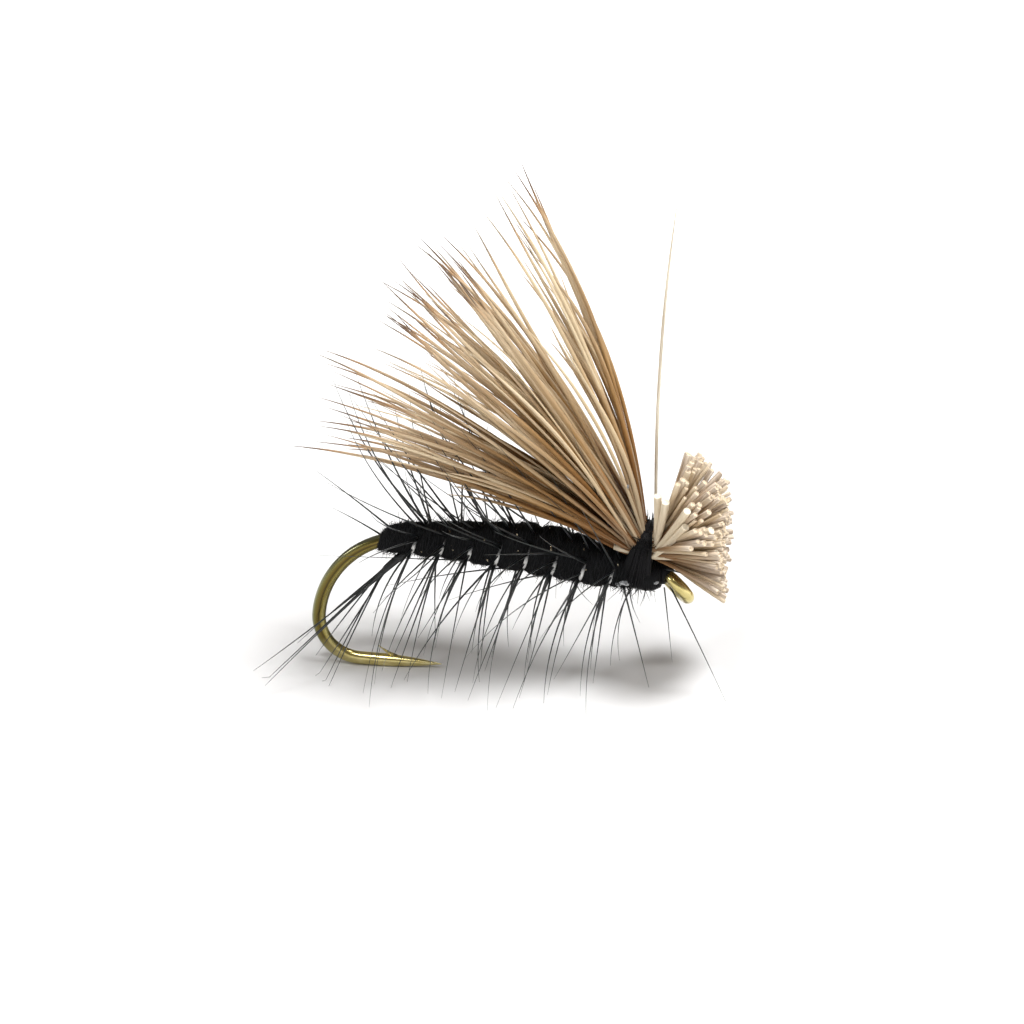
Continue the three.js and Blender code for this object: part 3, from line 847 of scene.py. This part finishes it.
def palmer_tip(barb):
    """The feather's tip, tied down under the rear of the body: a stub that splits into long loose barbs. The
    barbs that stand away from their own turns are here too."""
    rng = np.random.default_rng(31)
    root = np.array([-0.3, -0.2, -0.4])
    split = np.array([-0.86, -0.36, -0.98])
    count = 8
    ring = rng.normal(0, 0.05, (count, 3))
    level = np.radians(np.linspace(-68, -38, count) + rng.normal(0, 3, count))
    aside = np.radians(-20 + rng.normal(0, 8, count))
    out = np.stack([-np.cos(level) * np.cos(aside), np.sin(aside), np.sin(level)], -1)
    lengths = rng.uniform(3.2, 5.2, count)
    starts = root + ring
    knees = split + ring * 0.8
    tips = knees + out * lengths[:, None]
    share = np.linspace(0, 1, 8)[None, :, None]
    stub = starts[:, None] + (knees - starts)[:, None] * share
    curl = rng.normal(0.03, 0.05, (count, 1)) * UP
    free = quadratic(knees, knees + out * lengths[:, None] * 0.5 + curl * lengths[:, None], tips, 16)
    paths = lift_to_floor(np.concatenate([stub[:, :-1], free], 1))
    share = share_along(paths)
    radii = BARB_R * np.interp(share, [0, 0.17, 0.26, 0.6, 1], [2.3, 2.1, 1.0, 0.8, 0.2])
    skin = Skin()
    skin.add_fibres(paths, radii, 0.4 * rng.random(count))
    add_loose_barbs(skin, rng)
    return skin.build("palmer_tip", [barb])


# Barbs that stand away from the others: [root x, y, z, direction x, y, z, length, bend up]. The first two are
# at the rear, the next three lie under the body, four are at the head, and six cross the lower wing.
LOOSE_BARBS = [
    [-0.94, -0.1, 0.3, -0.81, -0.1, 0.59, 3.0, -0.04],
    [-1.15, -0.15, 0.02, -0.84, -0.2, 0.5, 1.8, -0.06],
    [1.9, -0.35, -0.32, -0.985, -0.1, -0.07, 4.8, 0.0],
    [2.75, -0.4, -0.4, -0.97, -0.2, -0.16, 3.6, -0.07],
    [3.9, -0.4, -0.45, -0.9, -0.3, -0.22, 2.9, -0.08],
    [6.3, -0.3, -0.45, 0.36, -0.14, -0.92, 3.4, -0.02],
    [7.55, -0.22, -0.4, 0.24, -0.28, -0.93, 2.2, -0.03],
    [7.72, -0.25, -0.32, 0.57, -0.37, -0.74, 4.0, -0.03],
    [7.5, -0.3, 0.22, 0.97, -0.22, 0.02, 1.9, -0.13],
    [6.15, -0.37, 0.37, -0.32, -0.3, 0.9, 5.43, -0.07],
    [5.6, -0.42, 0.52, -0.56, -0.41, 0.72, 3.65, -0.07],
    [4.7, -0.42, 0.72, -0.52, -0.34, 0.79, 4.98, -0.07],
    [3.5, -0.44, 0.84, -0.49, -0.31, 0.81, 4.72, -0.07],
    [2.3, -0.39, 0.72, -0.49, -0.27, 0.83, 4.78, -0.07],
    [5.2, -0.48, 0.56, -0.38, -0.34, 0.86, 3.58, -0.07],
]


def add_loose_barbs(skin, rng):
    rows = np.array(LOOSE_BARBS)
    lengths = rows[:, 6]
    paths = barb_paths(rows[:, 0:3], unit(rows[:, 3:6]), lengths, rows[:, 7:8] * UP, 16)
    skin.add_fibres(paths, 0.85 * barb_radii(lengths, 16, rng), 0.3 * rng.random(len(rows)))


def rib_piece(rib):
    """Fine wire wound against the feather. It sinks into the dubbing and shows where the dubbing is thin."""
    share = np.linspace(0, 1, RIB_TURNS * 48)
    x = lerp(BODY_BACK + 0.55, BODY_FRONT - 0.45, share)
    angle = -share * RIB_TURNS * TURN
    wander = 0.02 * np.sin(7 * angle + 3 * x) + 0.02 * np.sin(19 * angle)
    skin = Skin()
    skin.add_strand(on_body(x, angle, wander - RIB_SINK), RIB_R, 0.5, along=share)
    return skin.build("rib_winding", [rib])


# ---- Hair ----


def bundle_place(row, n, count):
    """Where a hair lies in the bundle: across and up from its centre, and the same as shares."""
    across = (n - (count - 1) / 2) * LOCK_GAP
    up = (row - (len(BUNDLE_ROWS) - 1) / 2) * ROW_GAP
    aside = across / (LOCK_GAP * (max(BUNDLE_ROWS) - 1) / 2)
    level = row / (len(BUNDLE_ROWS) - 1)
    return across, up, aside, level


def fan(forward, rise, aside):
    """Direction forward (1) or back (-1), turned up by rise and to the side by aside."""
    flat = math.cos(aside)
    return np.array([forward * math.cos(rise) * flat, math.sin(aside), math.sin(rise) * flat])


# The wing's clumps, one to a row of the bundle from the bottom up: the range in which its hairs stand, in
# degrees, how much they arch and how long they are. Light shows between the upper clumps.
WING_CLUMPS = [
    [10.5, 19.0, 0.085, 0.96],
    [18.0, 29.5, 0.075, 1.0],
    [34.5, 43.5, 0.075, 1.0],
    [47.5, 54.5, 0.04, 1.0],
    [60.5, 66.0, 0.105, 1.06],
]
FRONT_BEND = 0.12
WING_POINTS = 30

# A few hairs cross those below them, and a few end early
CROSSING_LIMIT = 0.85
CROSSING_ANGLE = 5
EARLY_LIMIT = 0.8
EARLY_SHARE = 0.1


def front_path(front, butt, length, curl=0.0, bend=FRONT_BEND):
    """From a place at the front of the collar round to a hair's cut end."""
    corner = front + bend * FORWARD
    start = corner + bend * butt
    cut = corner + length * butt
    middle = (start + cut) / 2 + curl * length * np.cross(SIDE, butt)
    return np.concatenate(
        [
            [front],
            quadratic([front], [corner], [start], 5)[0][1:],
            quadratic([start], [middle], [cut], 8)[0][1:],
        ]
    )


def wing_path(back, clump, aside, level, key, stray, short):
    """From a hair's tip to the back of the collar."""
    lowest, highest, arch, extent = clump
    rise = lerp(lowest, highest, 0.5 + 0.5 * scatter(key, "rise"))
    if abs(scatter(key, "crosses")) > CROSSING_LIMIT:
        rise -= CROSSING_ANGLE * abs(scatter(key, "crossing"))
    rise = math.radians(rise) - lerp(*WING_TILT, level) * aside
    wing = fan(-1, rise, WING_SPREAD * aside + 0.05 * stray * scatter(key, "wing_aside"))
    early = EARLY_SHARE * (abs(scatter(key, "shorter")) > EARLY_LIMIT)
    length = WING_LENGTH * extent * (1 + 0.055 * scatter(key, "length") - early) * (1 - 0.45 * short)
    bend = lerp(0.35, 0.06, level)
    corner = back - bend * FORWARD
    start = corner + bend * wing
    tip = corner + length * wing
    bow = (arch + 0.03 * scatter(key, "arch")) * length * np.cross(SIDE, wing)
    free = quadratic([tip], [(start + tip) / 2 + bow], [start], WING_POINTS)[0]
    free += sway(np.linspace(1, 0, WING_POINTS), wing, length, key)
    return np.concatenate([free, quadratic([start], [corner], [back], 5)[0][1:]])


def butt_path(front, aside, level, key, stray):
    """From the front of the collar to a hair's cut end. The lower butts are trimmed further out."""
    lift = lerp(*BUTT_RISE, level) - lerp(*BUTT_TILT, level) * min(aside, 0.4)
    lift += math.radians(4 + 4 * stray) * scatter(key, "lift")
    butt = fan(1, lift, BUTT_SPREAD * aside + 0.16 * stray * scatter(key, "butt_aside"))
    reach = TRIM_REACH * lerp(*TRIM_LEVELS, level) / butt[0]
    length = min(BUTT_LENGTH, reach) * (1 + (0.02 + 0.02 * stray) * scatter(key, "cut"))
    return front_path(front, butt, length, 0.06 * scatter(key, "curl"))


def hair_path(row, n, count, key, stray=0.0, short=0.0, roving=False):
    """A hair from its tip, through the collar, to its cut end. stray adds scatter to its directions, short
    takes length off its tip, and a roving hair stands anywhere below the top clump. Hairs on the fly's right
    stand a little steeper than those on its left, and so do their butts."""
    across, up, aside, level = bundle_place(row, n, count)
    level = min(max(level, 0), 1)
    clump = list(WING_CLUMPS[min(max(round(row), 0), len(WING_CLUMPS) - 1)])
    if roving:
        clump[:2] = WING_CLUMPS[0][0], WING_CLUMPS[-2][1]
    back, front = (np.array([x, across, BUNDLE_Z + up]) for x in COLLAR)
    wing = wing_path(back, clump, aside, level, key, stray, short)
    return np.concatenate([wing, butt_path(front, aside, level, key, stray)])


def sway(share, wing, length, key):
    """Each hair waves a little to the side of its own line, and its fine tip turns off it."""
    over = np.cross(SIDE, wing)
    wave = 0.012 * length * np.sin(TURN * (0.8 * share + 0.5 * scatter(key, "wave"))) * share
    hook = 0.03 * length * scatter(key, "hook") * np.clip(share - 0.65, 0, 1) ** 2 / 0.12
    beside = 0.012 * length * scatter(key, "beside") * share**2
    return (wave + hook)[:, None] * over + beside[:, None] * SIDE


# A hair's path has this many points up to the back of the collar, which is this share of the way from its
# tip to its cut end, however long it is
POINTS_TO_COLLAR = WING_POINTS + 4
COLLAR_SHARE = 0.82

# Beyond the end of a hair's shaft, its cut: [share of the radius, how far out]
CUT_SHAPE = [(0.93, 0.022), (0.78, 0.03), (0.62, 0.006)]

# Share of the way from the tip to the cut end, and how full the hair is there
HAIR_FULLNESS = np.array(
    [
        [0.0, 0.07], [0.03, 0.22], [0.08, 0.42], [0.16, 0.68], [0.32, 0.95], [0.6, 1.0],
        [0.74, 0.9], [0.8, 0.8], [0.83, 0.85], [0.88, 1.08], [0.93, 1.2], [1.0, 1.26],
    ]
)


def share_of_hair(paths, to_collar):
    run = run_along(paths)
    held = run[:, to_collar - 1 : to_collar]
    beyond = (run - held) / (run[:, -1:] - held)
    return np.where(run <= held, COLLAR_SHARE * run / held, lerp(COLLAR_SHARE, 1, beyond))


def add_hairs(skin, paths, tint, thickness, to_collar=POINTS_TO_COLLAR, lost=0.0):
    """Hairs from tip to cut end. along runs the other way, from 0 at the cut end to 1 at the tip, less the
    share that the hair has lost."""
    share = share_of_hair(paths, to_collar)
    radii = HAIR_R * thickness[:, None] * np.interp(share, *HAIR_FULLNESS.T)
    rings, along = capped_rings(paths, radii, (1 - share) * (1 - lost))
    skin.add_rings(rings, along, tint, cap_slot=1, cap_rings=2)


def capped_rings(paths, radii, along, sides=10):
    """Rings along hairs that end, at their last point, in a rounded and slightly hollow cut."""
    rings = rings_along(paths, radii, sides)
    end = paths[:, -1:]
    painted_band_place = unit(paths[:, -2:-1] - end)
    spokes = rings[:, -1] - end
    cut = [end + spokes * width - painted_band_place * reach for width, reach in CUT_SHAPE]
    along = np.concatenate([along, np.zeros((len(paths), len(cut)))], 1)
    return np.concatenate([rings, np.stack(cut, 1)], 1), along


# The companions of each lock's own hair, and how far off its row and its place they lie
COMPANIONS = 4
COMPANION_REACH = [0.38, 0.42]

# How short a roving hair is, and the share of a hair's colours that goes with a tip taken off in full
ROVING_SHORT = 0.35
SHORT_LOSS = 0.14


def lock_piece(number, row, n, materials):
    """A few neighbouring hairs of the bundle. In the two lowest rows the first companion is a short one. The
    next two end anywhere, and the last is a fine pale one that roves."""
    keys, places = [number], [(row, n)]
    for k in range(COMPANIONS):
        key = number * 7 + 11 * k + 50
        turn = TURN * (k / COMPANIONS + 0.1 * scatter(key, "place"))
        keys.append(key)
        places.append((row + COMPANION_REACH[0] * math.sin(turn), n + COMPANION_REACH[1] * math.cos(turn)))
    strays = [0] + [1] * COMPANIONS
    frayed = [0.55 + 0.45 * scatter(key, "fray") for key in keys[2:4]]
    shorts = np.array([0, row < 2, *frayed, ROVING_SHORT])
    roving = np.arange(len(keys)) == COMPANIONS
    hairs = zip(places, keys, strays, shorts, roving)
    paths = np.stack([hair_path(*place, BUNDLE_ROWS[row], *rest) for place, *rest in hairs])
    level = row / (len(BUNDLE_ROWS) - 1)
    tints, sizes = (np.array([scatter(key, purpose) for key in keys]) for purpose in ("tint", "thickness"))
    tint = 0.28 + 0.42 * level + 0.3 * tints + 0.5 * roving
    thickness = 0.95 + 0.2 * sizes - 0.35 * roving
    skin = Skin()
    add_hairs(skin, paths, tint, thickness, lost=SHORT_LOSS * shorts[:, None])
    return skin.build(f"hair_lock_{number:02d}", materials)


# Butts on the near side, bent out over the others: [across, up, rise and turn aside in degrees, length].
# The last is amber.
NEAR_BUTTS = [
    [-0.5, 0.2, 91.5, -24, 1.9],
    [-0.56, 0.1, 82.5, -30, 2.1],
    [-0.6, -0.06, 64.5, -34, 2.6],
    [-0.62, -0.2, 59, -36, 2.2],
    [-0.55, -0.16, 39.5, -26, 2.4],
    [-0.55, -0.26, 21, -24, 2.2],
    [-0.5, -0.2, 27.5, -20, 2.3],
]
NEAR_BEND = 0.1


def near_butts_piece(materials):
    """The last hairs to be tied in, which lie outside the others."""
    paths = []
    for across, up, rise, aside, length in NEAR_BUTTS:
        back = np.array([COLLAR[0] - 0.9, across * 0.9, BUNDLE_Z + up + 0.1])
        front = np.array([COLLAR[1] - 0.02, across, BUNDLE_Z + up])
        held = quadratic([back], [front - 0.3 * FORWARD], [front], 8)[0][:-1]
        butt = fan(1, math.radians(rise), math.radians(aside))
        paths.append(np.concatenate([held, front_path(front, butt, length, 0.03, NEAR_BEND)]))
    paths = np.stack(paths)
    skin = Skin()
    for chosen, slot in [(slice(None, -1), 0), (slice(-1, None), 2)]:
        share = share_along(paths[chosen])
        radii = HAIR_R * np.interp(share, [0, 0.28, 0.4, 0.6, 1], [0.8, 0.85, 1.1, 1.6, 1.78])
        rings, along = capped_rings(paths[chosen], radii, 0.17 * (1 - share))
        skin.add_rings(rings, along, np.full(len(along), 0.9), slot, cap_slot=1, cap_rings=2)
    return skin.build("near_butts", materials)


def stray_piece(materials):
    """One fine hair lies in the bundle the other way round. Its tip stands straight up by the collar."""
    level = BUNDLE_Z + ROW_GAP * 2.65
    back, front = COLLAR

    def at(x, up):
        return np.array([x - 0.06, 0.0, level + up])

    stub = [at(back - 0.25, 0.12), at(back, 0), at(front, 0)]
    stem = quadratic([stub[2]], [at(front + 0.06, 0)], [at(front + 0.02, 0.35)], 8)[0][1:]
    free = quadratic([stem[-1]], [at(front - 0.55, 5.5)], [at(front - 0.35, 10.4)], 32)[0][1:]
    path = np.concatenate([stub, stem, free])[::-1][None]
    skin = Skin()
    add_hairs(skin, path, np.array([0.4]), np.array([0.72]), to_collar=path.shape[1] - 2)
    return skin.build("stray_fibre", materials)


# ---- Thread and varnish ----


# The shank and the hair bundle in the collar: half-width, half-height and height of the centre
SHANK_OVAL = (0.4, 0.38, -0.12)
BUNDLE_OVAL = (0.74, 0.46, BUNDLE_Z)


def collar_outline(turn, margin):
    """Across and up for places round the shank and the hair bundle together, margin outside them. turn is
    the direction that the outline faces there."""
    cos, sin = np.cos(turn), np.sin(turn)

    def reach(a, b, z):
        return np.hypot(a * cos, b * sin) + z * sin

    def place(a, b, z):
        size = np.hypot(a * cos, b * sin)
        return a * a * cos / size + margin * cos, z + b * b * sin / size + margin * sin

    on_shank = reach(*SHANK_OVAL) > reach(*BUNDLE_OVAL)
    low, high = place(*SHANK_OVAL), place(*BUNDLE_OVAL)
    return np.where(on_shank, low[0], high[0]), np.where(on_shank, low[1], high[1])


# The collar from the side, by height: [height, front edge, width]. It bites into the hair in a narrow band
# on top and spreads back over the body below.
COLLAR_SHAPE = np.array(
    [
        [-0.6, 7.16, 1.0], [0.1, 7.16, 1.1], [0.5, 7.14, 0.92],
        [0.9, 7.1, 0.6], [1.2, 7.05, 0.36], [1.5, 7.0, 0.2],
    ]
)


def collar_place(turn, margin, share):
    """Place on the collar: share runs from its front edge, at 0, to its back edge, at 1."""
    across, up = collar_outline(turn, margin)
    front = np.interp(up, COLLAR_SHAPE[:, 0], COLLAR_SHAPE[:, 1])
    width = np.interp(up, COLLAR_SHAPE[:, 0], COLLAR_SHAPE[:, 2])
    return np.stack([front - share * width, across, up], -1)


def wound_strand(turns, place, per_turn=44):
    """Path of a strand that winds round: place(turn angle, share of the way)."""
    share = np.linspace(0, 1, int(turns * per_turn))
    return place(share * turns * TURN, share)


def collar_piece(thread):
    """Tight turns of thread over the hair and round the shank, to and fro, on top of earlier layers."""
    skin = Skin()
    layers = [(13, 0.03, 0.0), (11, 0.07, 1.9), (8, 0.11, 4.1)]
    for layer, (turns, margin, phase) in enumerate(layers):

        def place(turn, share, layer=layer, margin=margin, phase=phase):
            turn = turn + phase
            to_and_fro = np.abs(share * 2 % 2 - 1)
            inset = 0.04 + 0.09 * layer
            uneven = 0.03 * np.sin(2.3 * turn + 3 * layer)
            spread = np.clip(lerp(inset, 1 - 1.4 * inset, to_and_fro) + uneven, 0, 1)
            return collar_place(turn, margin + 0.016 * np.sin(5 * turn + layer), spread)

        skin.add_strand(wound_strand(turns, place), THREAD_R, 0.2 + 0.3 * layer)
    sleeve = [(0, 0), (0.1, 0.06), (0.5, 0.09), (0.9, 0.06), (1, 0)]
    band = [collar_place(around(64), margin, share) for share, margin in sleeve]
    skin.add_surface(np.array(band), 0.9)
    add_loose_filaments(skin)
    return skin.build("collar_wraps", [thread])


def add_loose_filaments(skin):
    """Frayed filaments and trapped dubbing that stand off the collar and blur its outline."""
    rng = np.random.default_rng(53)
    count = FILAMENT_COUNT
    places = list(zip(rng.uniform(0, TURN, count), rng.uniform(0, 1, count)))
    roots, outside = (np.stack([collar_place(a, margin, b) for a, b in places]) for margin in (0.08, 0.3))
    directions = unit(unit(outside - roots) + rng.normal(0, 0.9, (count, 3)))
    lengths = rng.uniform(0.12, 0.5, count)[:, None]
    corners = roots + directions * lengths * 0.5
    ends = roots + (directions + rng.normal(0, 0.35, (count, 3))) * lengths
    paths = quadratic(roots, corners, ends, 7)
    taper = np.interp(np.linspace(0, 1, 7), [0, 0.5, 1], [0.016, 0.012, 0.004])
    skin.add_fibres(paths, taper * rng.uniform(0.7, 1.2, (count, 1)), rng.random(count), sides=4)


def winding_piece(name, rows, turns, thread, seed):
    """Thread wound on a tapering core. rows are [x, radius, height of the centre]."""
    rows = np.array(rows)

    def surface(x, turn, margin):
        radius = np.interp(x, rows[:, 0], rows[:, 1]) + margin
        centre = np.interp(x, rows[:, 0], rows[:, 2])
        return np.stack([x + 0 * turn, radius * np.cos(turn), centre + radius * np.sin(turn)], -1)

    skin = Skin()
    for layer in range(2):

        def place(turn, share, layer=layer):
            there_and_back = share if layer else 1 - share
            x = lerp(rows[0, 0] + THREAD_R, rows[-1, 0] - THREAD_R, there_and_back)
            x = x + 0.018 * np.sin(turn + seed + 2 * layer)
            margin = -THREAD_R * 0.6 + layer * THREAD_R * 0.9 + 0.008 * np.sin(3 * turn)
            return surface(x, turn + layer, margin)

        skin.add_strand(wound_strand(turns, place), THREAD_R, 0.3 * layer)
    x = np.linspace(rows[0, 0], rows[-1, 0], 12)[:, None]
    skin.add_surface(surface(x, around(40)[None], -THREAD_R), 0.7)
    return skin.build(name, [thread])


# Varnish drops, shaped like lenses: [x, across, up, and half of length, thickness and height]
DROPS = [
    [7.3, -0.45, -0.2, 0.09, 0.04, 0.06],
    [6.66, -0.5, 0.1, 0.05, 0.05, 0.14],
    [6.36, -0.47, -0.32, 0.15, 0.06, 0.12],
    [6.18, -0.44, -0.42, 0.1, 0.06, 0.07],
    [6.62, -0.4, 1.74, 0.075, 0.06, 0.07],
    [6.18, -0.8, 2.84, 0.06, 0.06, 0.06],
]


def drops_piece(cement):
    skin = Skin()
    turn = around(24)
    lat = np.linspace(-TURN / 4 + 0.08, TURN / 4 - 0.08, 15)[:, None]
    for n, (x, across, up, length, thick, tall) in enumerate(DROPS):
        ripple = 1 + 0.12 * np.sin(2 * turn + n) + 0.06 * np.sin(3 * turn + 2 * n)
        long = x + length * np.cos(lat) * np.cos(turn) * ripple
        wide = across + thick * np.sin(lat) * np.ones(len(turn))
        high = up + tall * np.cos(lat) * np.sin(turn) * ripple
        skin.add_surface(np.stack([long, wide, high], -1), n / len(DROPS))
    return skin.build("cement_drops", [cement])


# ---- Studio ----


CAMERA_AZIMUTH = math.radians(8)
CAMERA_ELEVATION = math.radians(20)
CAMERA_LENS = 180
SENSOR_WIDTH = 36
CAMERA_DISTANCE = 153.6
CAMERA_AIM = ORIGIN + np.array([2.84, 0.0, 0.991])

# Height that the lights point at, and half the width of the floor in metres
FLY_MIDDLE = 4
FLOOR_HALF = 2.0


def bearing(azimuth, elevation):
    """Direction from the fly to something seen at that azimuth and elevation. Azimuth 0 looks along +Y."""
    level = math.cos(elevation)
    return np.array([math.sin(azimuth) * level, -math.cos(azimuth) * level, math.sin(elevation)])


def aim(thing, target):
    thing.rotation_euler = (Vector(target) - thing.location).to_track_quat("-Z", "Y").to_euler()


def add_camera():
    data = bpy.data.cameras.new("camera")
    data.lens = CAMERA_LENS
    data.sensor_width = SENSOR_WIDTH
    data.clip_start = 0.001
    data.clip_end = 10
    camera = add_object("camera", data)
    back = bearing(CAMERA_AZIMUTH, CAMERA_ELEVATION)
    camera.location = Vector((CAMERA_AIM + CAMERA_DISTANCE * back) * MM)
    aim(camera, CAMERA_AIM * MM)
    bpy.context.scene.camera = camera


def add_softbox(name, azimuth, elevation, distance, size, radiance):
    """Square softbox: distance and size in millimetres, radiance as the brightness of its face."""
    data = bpy.data.lights.new(name, "AREA")
    data.shape = "SQUARE"
    data.size = size * MM
    data.energy = math.pi * (size * MM) ** 2 * radiance
    light = add_object(name, data)
    middle = Vector((0, 0, FLY_MIDDLE * MM))
    back = bearing(math.radians(azimuth), math.radians(elevation))
    light.location = middle + Vector(back * distance * MM)
    aim(light, middle)


def studio_world():
    """A dim grey room whose pale sheet rises behind the horizon."""
    world = bpy.data.worlds.new("studio")
    world.use_nodes = True
    nodes, links = world.node_tree.nodes, world.node_tree.links
    place = nodes.new("ShaderNodeTexCoord")
    split = nodes.new("ShaderNodeSeparateXYZ")
    ramp = nodes.new("ShaderNodeValToRGB")
    low, high = ramp.color_ramp.elements
    low.position, low.color = 0.1, (1.1, 1.1, 1.1, 1)
    high.position, high.color = 0.3, (0.25, 0.23, 0.205, 1)
    links.new(place.outputs["Generated"], split.inputs["Vector"])
    links.new(split.outputs["Z"], ramp.inputs["Fac"])
    links.new(ramp.outputs["Color"], nodes["Background"].inputs["Color"])
    return world


def add_studio():
    sheet = bpy.data.meshes.new("floor")
    corners = [(-1, -1, 0), (1, -1, 0), (1, 1, 0), (-1, 1, 0)]
    sheet.from_pydata([FLOOR_HALF * Vector(corner) for corner in corners], [], [range(4)])
    sheet.materials.append(floor_finish())
    add_object("floor", sheet)
    bpy.context.scene.world = studio_world()
    add_softbox("key", 78, 69, 300, 110, 31.0)
    add_softbox("fill", -12, 60, 400, 75, 30.0)
    add_softbox("side", -60, 25, 400, 60, 14.0)
    bpy.context.scene.view_settings.view_transform = "Standard"


# ---- Assembly ----


def attach(piece, slot, *nodes):
    """Fix a piece to the fly's one body and hide the CAD nodes that it stands for. slot is not used."""
    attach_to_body(piece, "root")
    if nodes:
        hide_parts(*nodes)


def build_fly():
    thread = thread_finish()
    barb = barb_finish()
    quill = quill_finish()
    hair_materials = [hair_finish(), pith_finish()]
    attach(hook_piece(bronze_finish()), "bronze", "hook")
    attach(dubbing_piece(dubbing_finish()), "dubbing", "dubbed_body")
    attach(fuzz_piece(fuzz_finish()), "dubbing")
    for turn in range(HACKLE_TURNS):
        attach(palmer_turn(turn, barb, quill), "feather", f"hackle_turn_{turn + 1}")
    attach(palmer_tip(barb), "feather", "hackle_tip")
    attach(rib_piece(rib_finish()), "rib", "rib_wire")
    number = 0
    for row, count in enumerate(BUNDLE_ROWS):
        for n in range(count):
            number += 1
            attach(lock_piece(number, row, n, hair_materials), "hair_tan", f"wing_hair_{number:02d}")
    pale = [hair_finish("pale_hair", 0.8), hair_materials[1]]
    near = [hair_finish("near_butt_hair", 0.4), pith_finish("near_butt_pith", 0.6), amber_finish()]
    attach(near_butts_piece(near), "hair_tan")
    attach(stray_piece(pale), "hair_pale", "stray_hair")
    attach(collar_piece(thread), "thread", "thread_collar")
    head_rows = [[6.75, 0.5, -0.1], [7.0, 0.5, -0.11], [7.25, 0.46, -0.1], [7.46, 0.38, -0.04]]
    attach(winding_piece("head_wraps", head_rows, 12, thread, 1.0), "thread", "thread_head")
    whip_rows = [[7.42, 0.35, 0.0], [7.54, 0.35, 0.03], [7.64, 0.26, 0.08], [7.76, 0.13, 0.12]]
    attach(winding_piece("whip_wraps", whip_rows, 7, thread, 2.0), "thread", "whip_finish")
    attach(drops_piece(cement_finish()), "varnish", "head_cement")
    frame["nodes"]["thread_base"].material_slots[0].material = thread


add_camera()
add_studio()
build_fly()
